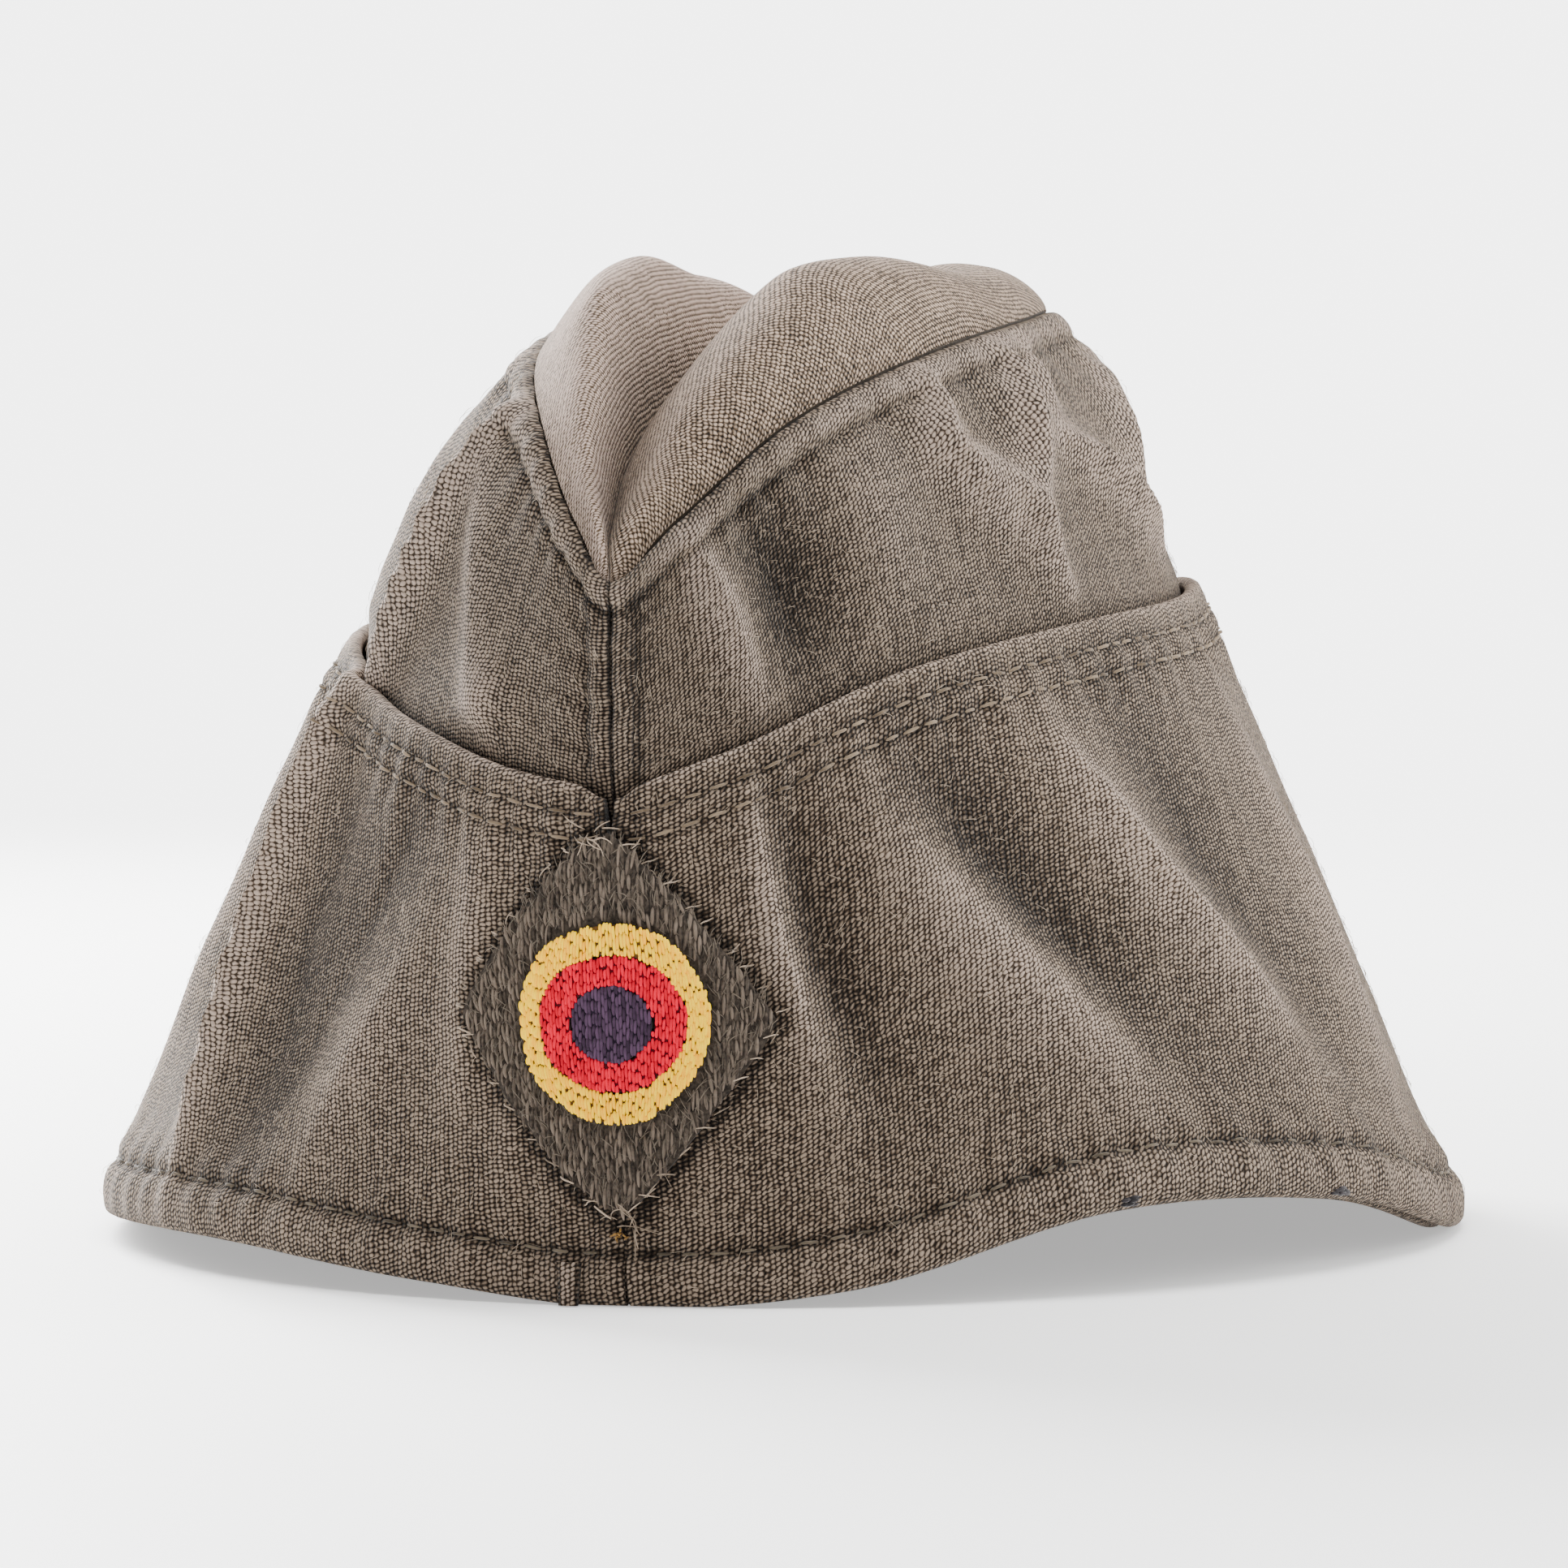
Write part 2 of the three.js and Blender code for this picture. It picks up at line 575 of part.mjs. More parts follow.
const group = new THREE.Group();
group.name = 'garrison_cap';
group.add(
  sidePanel('side_panel_left', 1),
  sidePanel('side_panel_right', -1),
  topPanel('top_panel'),
  curtainPiece('curtain_left', 1),
  curtainPiece('curtain_right', -1),
  badgePatch('badge_patch'),
  ring('cockade_gold', 0xe6bf55, RED_RADIUS + GAP / 2, COCKADE / 2),
  ring('cockade_red', 0xcf3244, BLACK_RADIUS + GAP / 2, RED_RADIUS - GAP / 2),
  ring('cockade_black', 0x41393f, 0, BLACK_RADIUS - GAP / 2),
);

// The origin lies under the middle of the cap, on the ground
const bounds = new THREE.Box3().setFromObject(group);
const centre = bounds.getCenter(new THREE.Vector3());
for (const mesh of group.children) {
  mesh.geometry.translate(-centre.x, -centre.y, -bounds.min.z);
}

export default group;
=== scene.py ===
import math

import bpy
import numpy as np
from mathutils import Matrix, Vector


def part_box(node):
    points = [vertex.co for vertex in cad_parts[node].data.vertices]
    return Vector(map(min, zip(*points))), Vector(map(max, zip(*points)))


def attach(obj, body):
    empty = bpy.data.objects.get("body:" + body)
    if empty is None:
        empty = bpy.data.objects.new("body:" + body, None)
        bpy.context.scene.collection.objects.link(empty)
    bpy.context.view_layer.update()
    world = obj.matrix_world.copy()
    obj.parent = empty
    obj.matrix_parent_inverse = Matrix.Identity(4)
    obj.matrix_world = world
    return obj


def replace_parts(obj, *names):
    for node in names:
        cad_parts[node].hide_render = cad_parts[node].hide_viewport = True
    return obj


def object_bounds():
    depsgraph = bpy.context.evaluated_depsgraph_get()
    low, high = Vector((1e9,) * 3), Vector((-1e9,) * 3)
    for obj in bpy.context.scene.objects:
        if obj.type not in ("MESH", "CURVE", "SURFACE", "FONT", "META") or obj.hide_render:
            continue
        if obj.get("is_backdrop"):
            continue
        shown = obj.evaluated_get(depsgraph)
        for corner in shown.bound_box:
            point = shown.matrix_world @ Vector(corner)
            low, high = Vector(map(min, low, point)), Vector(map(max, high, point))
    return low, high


# Garrison cap of coarse woven wool: the CAD frame dressed with doubled cloth, seams, hem stitches,
# an embroidered patch and a cockade of three rings. Metres, +Z up, the front looks along -Y and the
# wearer's left is +X.

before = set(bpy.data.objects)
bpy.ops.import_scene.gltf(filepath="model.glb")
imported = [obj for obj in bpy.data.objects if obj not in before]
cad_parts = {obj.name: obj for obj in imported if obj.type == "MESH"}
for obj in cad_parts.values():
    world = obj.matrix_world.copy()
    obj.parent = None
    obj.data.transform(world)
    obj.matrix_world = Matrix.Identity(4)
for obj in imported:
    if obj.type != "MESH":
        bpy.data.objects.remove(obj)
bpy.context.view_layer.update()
MM = 0.001

# Driving sizes, as in the part's source
panel_low, panel_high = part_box("side_panel_left")
LENGTH = panel_high.y - panel_low.y
WIDTH = 164 * MM
HEIGHT = 114.5 * MM
CLOTH = 1.6 * MM
CURTAIN_CLOTH = 1.9 * MM
PATCH_WIDTH = 36.6 * MM
PATCH_HEIGHT = 44.4 * MM
PATCH_CLOTH = 1.8 * MM
THREAD = 0.8 * MM
PATCH_CENTRE = 31.8 * MM
PATCH_EASE = 0.92
PATCH_ROUND = {-1: 1.3, 1: 1.1}
LOBE_LEAN = {-1: 1.32, 1: 0.9}
COCKADE = 23 * MM
RED_RADIUS = 0.36 * COCKADE
BLACK_RADIUS = 0.20 * COCKADE
RING_SQUEEZE = 0.94
RING_RADII = (BLACK_RADIUS, RED_RADIUS, COCKADE / 2)
RING_WIDE = (0.98, 0.99, 0.91)
RING_TALL = (0.96, 0.95, 0.985)
GAP = 0.35 * MM
CURTAIN_GAP = 0.5 * MM
PATCH_GAP = 0.45 * MM
TUCK = 2.9 * MM
SINK = 0.5 * MM
ROLL_WIDTH = 3.6 * MM
ROLL_RISE = 1.2 * MM
STRIP_WIDTH = 2.7 * MM
GROOVE = 0.75 * MM
GROOVE_WIDTH = 0.75 * MM
HEM_LINES = (3.5 * MM, 6.5 * MM)
RIM_BAND = 5.8 * MM
BAND_RISE = 0.3 * MM
RIDGE_GAIN = 1.25
VALLEY_GAIN = 1.65
SLIT = 7 * MM
SLIT_GAP = 0.6 * MM
NOTCH = 1.5 * MM
FLAT_FOOT = 0.3 * MM
SEAM_CALM = 9 * MM
TOP_FROM = 0.018
POINT_SINK = 1.2 * MM
# Stitches and fibres, which only the cloth shows
STROKE_PITCH, STROKE_LONG = 0.50 * MM, 2.2 * MM
WHIP_PITCH = 3.1 * MM
RING_PITCH, RING_LONG = 0.38 * MM, 1.5 * MM
RING_REACH = 0.12 * MM
SHORTEST_STITCH = 0.35 * MM
PATCH_FIBRES, CURTAIN_FIBRES, CROWN_FIBRES = 900, 2600, 1500
# Dark tufts on the rim: middle and length, as shares of the run
TUFTS = ((0.230, 0.009), (0.356, 0.012))

# The wall outline by level, as shares. In all tables left and right are the photo's, so right is
# the wearer's left, on +X, and side is 1 there and -1 on the other side.
LEVELS = (
    # up, length, left, right, point, lean
    (0.00, 1.000, 1.010, 0.998, 0.05, 0.018),
    (0.03, 0.998, 1.007, 0.995, 0.05, 0.017),
    (0.10, 0.990, 0.953, 0.945, 0.08, 0.015),
    (0.25, 0.974, 0.841, 0.857, 0.14, 0.010),
    (0.50, 0.949, 0.684, 0.702, 0.25, 0.001),
    (0.75, 0.918, 0.545, 0.563, 0.32, -0.007),
    (0.90, 0.900, 0.428, 0.478, 0.35, -0.011),
    (1.00, 0.888, 0.305, 0.380, 0.35, -0.013),
)

# The run from the front seam (0) to the back seam (1), as shares
ROUND = (
    # run, liftL, liftR, seam, curtainL, curtainR, crease, dip, riseL, riseR
    (0.00, 0.000, 0.000, 0.725, 0.715, 0.715, 0.36, 0.009, 0.000, 0.000),
    (0.10, 0.018, 0.018, 0.786, 0.670, 0.695, 0.34, 0.035, 0.035, 0.035),
    (0.22, 0.038, 0.086, 0.886, 0.635, 0.675, 0.34, 0.052, 0.076, 0.074),
    (0.36, 0.030, 0.076, 0.956, 0.655, 0.675, 0.36, 0.070, 0.125, 0.120),
    (0.50, 0.009, 0.012, 0.991, 0.665, 0.690, 0.42, 0.079, 0.108, 0.096),
    (0.64, 0.002, 0.002, 1.000, 0.680, 0.700, 0.47, 0.070, 0.039, 0.070),
    (0.80, 0.009, 0.009, 0.943, 0.690, 0.700, 0.50, 0.052, 0.035, 0.052),
    (1.00, 0.000, 0.000, 0.803, 0.700, 0.700, 0.50, 0.009, 0.000, 0.000),
)

# Folds: side, then run and up at three places, rise, spread. Up is a share of the curtain, of the
# crown above it, or of the lobe.
CURTAIN_FOLDS = (
    (1, 0.108, 0.92, 0.106, 0.60, 0.112, 0.33, 0.017, 0.044),
    (1, 0.127, 0.92, 0.128, 0.60, 0.136, 0.30, -0.014, 0.056),
    (1, 0.176, 0.78, 0.206, 0.50, 0.258, 0.16, 0.020, 0.070),
    (1, 0.206, 0.88, 0.240, 0.60, 0.282, 0.30, -0.015, 0.070),
    (1, 0.292, 0.84, 0.316, 0.56, 0.372, 0.24, 0.022, 0.061),
    (1, 0.362, 0.88, 0.378, 0.56, 0.405, 0.30, -0.009, 0.070),
    (1, 0.476, 0.88, 0.476, 0.50, 0.448, 0.12, 0.016, 0.079),
    (1, 0.640, 0.85, 0.640, 0.55, 0.650, 0.20, 0.014, 0.105),
    (1, 0.820, 0.85, 0.820, 0.55, 0.810, 0.20, 0.014, 0.105),
    (-1, 0.298, 1.25, 0.304, 0.55, 0.280, 0.08, 0.022, 0.042),
    (-1, 0.346, 1.20, 0.350, 0.60, 0.326, 0.20, -0.011, 0.044),
    (-1, 0.398, 1.20, 0.398, 0.55, 0.385, 0.10, 0.011, 0.048),
    (-1, 0.250, 0.92, 0.258, 0.55, 0.236, 0.12, -0.008, 0.056),
    (-1, 0.178, 0.90, 0.210, 0.60, 0.226, 0.20, -0.010, 0.070),
    (-1, 0.120, 0.92, 0.104, 0.60, 0.100, 0.33, 0.014, 0.052),
    (-1, 0.150, 0.62, 0.168, 0.40, 0.180, 0.18, 0.014, 0.061),
    (-1, 0.420, 0.85, 0.420, 0.50, 0.410, 0.20, 0.016, 0.079),
    (-1, 0.620, 0.85, 0.620, 0.55, 0.630, 0.20, 0.014, 0.105),
    (-1, 0.820, 0.85, 0.820, 0.55, 0.810, 0.20, 0.014, 0.105),
)
CROWN_FOLDS = (
    (1, 0.096, 0.92, 0.115, 0.56, 0.130, 0.14, 0.024, 0.044),
    (1, 0.160, 0.88, 0.170, 0.50, 0.170, 0.12, -0.015, 0.070),
    (1, 0.252, 0.92, 0.242, 0.60, 0.252, 0.20, 0.012, 0.070),
    (1, 0.332, 0.94, 0.306, 0.70, 0.334, 0.42, 0.019, 0.039),
    (1, 0.326, 0.66, 0.350, 0.45, 0.366, 0.14, 0.017, 0.044),
    (1, 0.424, 0.94, 0.392, 0.72, 0.362, 0.38, 0.019, 0.039),
    (1, 0.412, 0.64, 0.456, 0.46, 0.510, 0.17, 0.021, 0.044),
    (1, 0.580, 0.84, 0.530, 0.62, 0.495, 0.32, 0.017, 0.052),
    (-1, 0.250, 1.00, 0.266, 0.50, 0.298, -0.25, 0.020, 0.034),
    (-1, 0.304, 1.00, 0.320, 0.50, 0.346, -0.10, -0.015, 0.034),
    (-1, 0.365, 1.00, 0.382, 0.50, 0.398, -0.20, 0.013, 0.044),
    (-1, 0.262, 0.94, 0.205, 0.62, 0.150, 0.12, 0.013, 0.040),
    (-1, 0.140, 0.34, 0.144, 0.20, 0.138, 0.10, 0.017, 0.052),
)
LOBE_FOLDS = (
    (1, 0.300, 0.20, 0.330, 0.45, 0.350, 0.70, 0.010, 0.070),
    (1, 0.470, 0.20, 0.480, 0.50, 0.500, 0.75, -0.010, 0.079),
    (-1, 0.280, 0.25, 0.300, 0.50, 0.330, 0.75, 0.010, 0.070),
    (-1, 0.480, 0.20, 0.500, 0.50, 0.500, 0.75, -0.009, 0.079),
)
# Small sharp creases that only the cloth shows, in the same columns
CURTAIN_CREASES = (
    (1, 0.190, 0.72, 0.224, 0.46, 0.266, 0.20, 0.005, 0.022),
    (1, 0.298, 0.80, 0.322, 0.55, 0.370, 0.30, 0.009, 0.017),
    (1, 0.106, 0.90, 0.104, 0.66, 0.110, 0.44, 0.009, 0.017),
    (-1, 0.298, 1.10, 0.304, 0.60, 0.281, 0.10, 0.013, 0.015),
    (-1, 0.205, 0.84, 0.214, 0.55, 0.230, 0.30, 0.003, 0.020),
    (-1, 0.065, 0.60, 0.060, 0.40, 0.070, 0.16, 0.004, 0.022),
)
CROWN_CREASES = (
    (1, 0.100, 0.86, 0.122, 0.50, 0.132, 0.14, 0.005, 0.020),
    (1, 0.336, 0.96, 0.304, 0.72, 0.332, 0.44, 0.012, 0.016),
    (1, 0.330, 0.62, 0.352, 0.42, 0.368, 0.12, 0.012, 0.016),
    (1, 0.428, 0.96, 0.394, 0.74, 0.360, 0.42, 0.012, 0.016),
    (1, 0.466, 0.96, 0.448, 0.84, 0.428, 0.70, 0.012, 0.016),
    (1, 0.410, 0.64, 0.458, 0.46, 0.512, 0.18, 0.013, 0.016),
    (1, 0.590, 0.90, 0.530, 0.66, 0.500, 0.34, 0.009, 0.017),
    (-1, 0.251, 0.95, 0.266, 0.50, 0.292, -0.05, 0.013, 0.015),
)

# Size of each area that folds lie on: round the cap, and up
CURTAIN_SPAN = (1.35 * LENGTH, 0.56 * HEIGHT)
CROWN_SPAN = (1.05 * LENGTH, 0.29 * HEIGHT)
LOBE_SPAN = (1.00 * LENGTH, 0.20 * WIDTH)

# Woven cloth: name, tones of gap (painted shade between threads), middle, crest (painted light on
# the threads' tops), worn and painted-lit places, pitch of warp and weft in mm
CLOTH_TONES = (
    ("panel_cloth", (20, 16, 12), (62, 52, 43), (136, 120, 104), (160, 142, 128), 0.62, 0.52),
    ("curtain_cloth", (22, 17, 13), (67, 56, 46), (143, 126, 109), (167, 148, 133), 0.66, 0.53),
    ("top_cloth", (22, 16, 10), (92, 77, 62), (172, 150, 131), (186, 163, 149), 0.66, 0.55),
)
# Thread: name, light tone, dark tone, sheen, the record's material that it belongs to
THREAD_TONES = (
    ("patch_cloth", (118, 105, 93), (10, 8, 7), 0.05, "patch_cloth"),
    ("gold_thread", (255, 208, 0), (254, 178, 0), 0, "gold_thread"),
    ("red_thread", (226, 0, 54), (176, 0, 36), 0, "red_thread"),
    ("black_thread", (80, 60, 80), (44, 32, 45), 0.05, "black_thread"),
    # The rings' grounds: darker copies of their threads' colours, painted shade under and between
    # the stitches
    ("gold_ground", (92, 66, 34), (56, 40, 22), 0.2, "gold_thread"),
    ("red_ground", (84, 14, 26), (52, 8, 16), 0.2, "red_thread"),
    ("black_ground", (44, 34, 48), (24, 18, 28), 0.2, "black_thread"),
    ("sewing_thread", (166, 147, 127), (98, 86, 72), 0.2, "patch_cloth"),
    ("hem_thread", (126, 110, 91), (70, 59, 47), 0.2, "curtain_cloth"),
    ("ochre_thread", (150, 114, 62), (100, 74, 40), 0.2, "patch_cloth"),
    ("dark_thread", (50, 46, 48), (26, 24, 26), 0.2, "curtain_cloth"),
    ("fibre", (168, 152, 134), (110, 98, 84), 0.2, "curtain_cloth"),
    ("dark_hem_thread", (104, 94, 80), (56, 50, 42), 0.2, "curtain_cloth"),
    ("fuzz_thread", (106, 96, 84), (54, 48, 42), 0.2, "patch_cloth"),
    # The top seam's cord: a dark tone as painted shade in the crevice
    ("seam_allowance_shade", (76, 67, 56), (48, 42, 35), 0.2, "panel_cloth"),
)
MATERIALS = {}
# Noise scales, per metre
SWAY_SCALE, LIFT_SCALE, JITTER_SCALE = 150, 210, 1300
FIBRE_SCALE, WORN_SCALE, TWIST_SCALE = 2600, 28, 1500

random = np.random.default_rng(7)


def linear(color):
    """A colour given as 0 to 255 on screen, for a shader socket."""
    return (*[(channel / 255) ** 2.2 for channel in color], 1)


def feed(tree, value, socket):
    if isinstance(value, bpy.types.NodeSocket):
        tree.links.new(value, socket)
    else:
        socket.default_value = value


def calc(tree, operation, *values, clamp=False):
    node = tree.nodes.new("ShaderNodeMath")
    node.operation = operation
    node.use_clamp = clamp
    for value, socket in zip(values, node.inputs):
        feed(tree, value, socket)
    return node.outputs[0]


def noise(tree, vector, scale, detail=2.0, rough=0.5):
    node = tree.nodes.new("ShaderNodeTexNoise")
    feed(tree, vector, node.inputs["Vector"])
    node.inputs["Scale"].default_value = scale
    node.inputs["Detail"].default_value = detail
    node.inputs["Roughness"].default_value = rough
    return node.outputs["Fac"]


def cell_value(tree, x, y):
    """A random value from 0 to 1 for each pair of whole numbers."""
    join = tree.nodes.new("ShaderNodeCombineXYZ")
    feed(tree, x, join.inputs[0])
    feed(tree, y, join.inputs[1])
    node = tree.nodes.new("ShaderNodeTexWhiteNoise")
    node.noise_dimensions = "2D"
    tree.links.new(join.outputs[0], node.inputs["Vector"])
    return node.outputs["Value"]


def blend(tree, share, first, second):
    node = tree.nodes.new("ShaderNodeMix")
    node.data_type = "RGBA"
    feed(tree, share, node.inputs["Factor"])
    feed(tree, first, node.inputs["A"])
    feed(tree, second, node.inputs["B"])
    return node.outputs["Result"]


def span(tree, value, low, high, start=0.0, end=1.0):
    node = tree.nodes.new("ShaderNodeMapRange")
    node.interpolation_type = "SMOOTHSTEP"
    feed(tree, value, node.inputs["Value"])
    for name, number in (("From Min", low), ("From Max", high), ("To Min", start), ("To Max", end)):
        node.inputs[name].default_value = number
    return node.outputs["Result"]


def attribute(tree, name):
    node = tree.nodes.new("ShaderNodeAttribute")
    node.attribute_name = name
    return node.outputs["Fac"]


def surface(name, sheen, specular, roughness=0.95):
    """A new material with its shader's fixed values: its tree, its shader and a position."""
    material = bpy.data.materials.new(name)
    material.use_nodes = True
    tree = material.node_tree
    shader = tree.nodes["Principled BSDF"]
    shader.inputs["Roughness"].default_value = roughness
    shader.inputs["Specular IOR Level"].default_value = specular
    shader.inputs["Sheen Weight"].default_value = sheen
    shader.inputs["Sheen Roughness"].default_value = 0.45
    MATERIALS[name] = material
    return tree, shader, tree.nodes.new("ShaderNodeTexCoord").outputs["Object"]


def raise_bump(tree, shader, height, depth, strength=1.0):
    bump = tree.nodes.new("ShaderNodeBump")
    bump.inputs["Distance"].default_value = depth
    bump.inputs["Strength"].default_value = strength
    tree.links.new(height, bump.inputs["Height"])
    tree.links.new(bump.outputs["Normal"], shader.inputs["Normal"])


def woven(name, gap, middle, crest, worn_and_lit, warp, weft):
    """Coarse, much-rubbed cloth: upright rows of short bumps, painted shade in the gaps and painted
    light on their tops; lighter where the cloth rubs and where light is painted, darker where shade
    is painted.
    """
    tree, shader, place = surface(name, 0.08, 0.1)

    def times(first, second):
        return calc(tree, "MULTIPLY", first, second)

    def minus(first, second):
        return calc(tree, "SUBTRACT", first, second)

    def plus(value, gain, base):
        return calc(tree, "MULTIPLY_ADD", value, gain, base)

    uv = tree.nodes.new("ShaderNodeUVMap")
    uv.uv_map = "weave"
    split = tree.nodes.new("ShaderNodeSeparateXYZ")
    tree.links.new(uv.outputs[0], split.inputs[0])
    # Place in threads: the rows sway, lift and jitter, and every other column is half a row higher
    sway = minus(noise(tree, place, SWAY_SCALE), 0.5)
    lift = minus(noise(tree, place, LIFT_SCALE, 3), 0.5)
    jitter = minus(noise(tree, place, JITTER_SCALE, 2), 0.5)
    across = plus(sway, 1.3, calc(tree, "DIVIDE", split.outputs[0], warp))
    across = plus(jitter, 0.8, across)
    column = calc(tree, "FLOOR", across)
    odd = times(calc(tree, "MODULO", column, 2.0), 0.5)
    high = plus(lift, 1.6, calc(tree, "DIVIDE", split.outputs[1], weft))
    high = calc(tree, "ADD", high, plus(cell_value(tree, column, 3.0), 0.45, odd))
    high = plus(jitter, 0.8, high)
    row = calc(tree, "FLOOR", high)
    cell = cell_value(tree, column, row)
    # A round bump in each cell, a little tilted, with fine fibres on it
    off_across = minus(calc(tree, "FRACT", across), 0.5)
    off_high = minus(calc(tree, "FRACT", high), 0.5)
    tilt = plus(cell_value(tree, row, column), -0.9, 0.1)
    off_high = plus(off_across, tilt, off_high)
    side_fall = times(times(off_across, off_across), 2.9)
    end_fall = times(times(off_high, off_high), 3.2)
    bump = calc(tree, "SUBTRACT", minus(1.0, side_fall), end_fall, clamp=True)
    fibres = noise(tree, place, FIBRE_SCALE, 3, 0.65)
    bump = times(bump, plus(cell, 0.3, 0.85))
    bump = plus(minus(fibres, 0.5), 0.45, bump)
    # Lightness differs by warp thread, weft thread and cell, and by wear and painted light
    light = plus(cell_value(tree, column, 11.0), 0.12, bump)
    light = plus(cell_value(tree, 7.0, row), 0.10, light)
    light = plus(minus(cell, 0.5), 0.16, light)
    patches = noise(tree, place, WORN_SCALE, 4, 0.6)
    tone_and_painted_light = plus(minus(patches, 0.5), 0.16, attribute(tree, "tone_and_painted_light"))
    light = plus(minus(tone_and_painted_light, 0.5), 0.50, light)
    # Tones from the gaps, dark with painted shade, to the pale crests, lighter with wear and
    # painted light
    cloth = blend(tree, span(tree, light, -0.02, 0.62), linear(gap), linear(middle))
    top = blend(tree, span(tree, tone_and_painted_light, 0.5, 1.0), linear(crest), linear(worn_and_lit))
    cloth = blend(tree, span(tree, light, 0.50, 1.10), cloth, top)
    # Painted shade: the colour darkens to half where tone_and_painted_light is low, in fold
    # valleys, stitched grooves and round the patch
    shade = span(tree, tone_and_painted_light, 0.0, 0.55, 0.50, 1.0)
    dark = tree.nodes.new("ShaderNodeVectorMath")
    dark.operation = "SCALE"
    tree.links.new(cloth, dark.inputs[0])
    tree.links.new(shade, dark.inputs["Scale"])
    tree.links.new(dark.outputs[0], shader.inputs["Base Color"])
    raise_bump(tree, shader, bump, 0.27 * MM)


def spun(name, light, dark, sheen):
    """Thread: each strand a little lighter or darker, with fine fibres along it."""
    tree, shader, place = surface(name, sheen, 0.12, 0.85)
    fibres = noise(tree, place, TWIST_SCALE, 3, 0.6)
    strand = calc(tree, "MULTIPLY", fibres, 0.6)
    strand = calc(tree, "MULTIPLY_ADD", attribute(tree, "tone_and_painted_light"), 0.55, strand)
    color = blend(tree, span(tree, strand, 0.1, 0.85), linear(dark), linear(light))
    tree.links.new(color, shader.inputs["Base Color"])
    raise_bump(tree, shader, fibres, 0.12 * MM, 0.8)


for name, *tones, warp, weft in CLOTH_TONES:
    woven(name, *tones, warp * MM, weft * MM)
for name, light, dark, sheen, _ in THREAD_TONES:
    spun(name, light, dark, sheen)


def smooth(low, high, value):
    share = np.clip((value - low) / (high - low), 0, 1)
    return share * share * (3 - 2 * share)


def arched(share):
    """An arch: 0 at shares 0 and 1, 1 in the middle."""
    return np.sin(np.pi * share)


def read_table(rows, at, flat_ends):
    """One array for each column of the table, read with smooth slopes."""
    table = np.array(rows)
    keys, values = table[:, 0], table[:, 1:]
    slopes = np.gradient(values, keys, axis=0)
    if flat_ends:
        slopes[[0, -1]] = 0
    place = np.clip(at, 0, 1)
    low = np.clip(np.searchsorted(keys, place, side="right") - 1, 0, len(keys) - 2)
    span = (keys[low + 1] - keys[low])[..., None]
    t = (place - keys[low])[..., None] / span
    start = (1 + 2 * t) * (1 - t) ** 2
    leave, arrive = t * (1 - t) ** 2, -t * t * (1 - t)
    read = values[low] * start + values[low + 1] * (1 - start)
    read = read + span * (slopes[low] * leave + slopes[low + 1] * arrive)
    return np.moveaxis(read, -1, 0)


def fold_height(folds, span, side, run, up):
    """Height of the soft folds of one side; the crest is a little sharper than the foot."""
    height = np.zeros(np.broadcast(run, up).shape)
    for fold_side, *places, rise, spread in folds:
        if fold_side != side:
            continue
        near = np.full(height.shape, np.inf)
        along = np.zeros(height.shape)
        for leg in (0, 1):
            run0, up0, run1, up1 = places[2 * leg:2 * leg + 4]
            run_step, up_step = (run1 - run0) * span[0], (up1 - up0) * span[1]
            run_off, up_off = (run - run0) * span[0], (up - up0) * span[1]
            share = (run_off * run_step + up_off * up_step) / (run_step ** 2 + up_step ** 2)
            share = np.clip(share, 0, 1)
            away = np.hypot(run_off - share * run_step, up_off - share * up_step)
            closer = away < near
            near = np.where(closer, away, near)
            along = np.where(closer, (leg + share) / 2, along)
        taper = 0.35 + 0.65 * arched(along)
        far = near / (HEIGHT * spread)
        crest = 0.75 * np.exp(-far ** 2) + 0.25 * np.exp(-2.4 * far)
        height += HEIGHT * rise * taper * crest * (RIDGE_GAIN if rise > 0 else VALLEY_GAIN)
    return height


def ripple(across, along, pitch, seed):
    """Soft uneven waves of one typical pitch, from -1 to 1."""
    total = 0
    for turn in range(4):
        angle = seed * 1.7 + turn * 2.4
        wave = 2 * np.pi / (pitch * (0.8 + 0.23 * turn))
        place = across * math.cos(angle) + along * math.sin(angle)
        total = total + np.sin(wave * place + seed * 5 + turn)
    return total / 4


def carried(side, run):
    """Share of a fold that runs on from the crown over the edge of the curtain."""
    return np.exp(-((run - 0.298) / 0.035) ** 2) if side < 0 else 0 * run


def round_at(side, run):
    """The values of ROUND on one side, in metres where they are sizes."""
    (lift_left, lift_right, seam, curtain_left, curtain_right,
     crease, dip, rise_left, rise_right) = read_table(ROUND, run, flat_ends=True)
    right = side > 0
    return {
        "rim": np.maximum(0, (lift_right if right else lift_left) * HEIGHT - FLAT_FOOT),
        "seam": seam * HEIGHT,
        "curtain": curtain_right if right else curtain_left,
        "crease": crease,
        "dip": dip * HEIGHT,
        "rise": (rise_right if right else rise_left) * HEIGHT,
    }


def half_width(side, left, right):
    return (right if side > 0 else left) * WIDTH / 2


def bow(point, turn):
    """How far out the wall bows, as a share, from the front (turn 0) to the back (turn pi)."""
    return (1 - point) * np.sin(turn) + point * np.sin(turn) ** 2


def nearness(turn):
    """1 at the front seam, falling to 0 at the back."""
    return ((1 + np.cos(turn)) / 2) ** 2


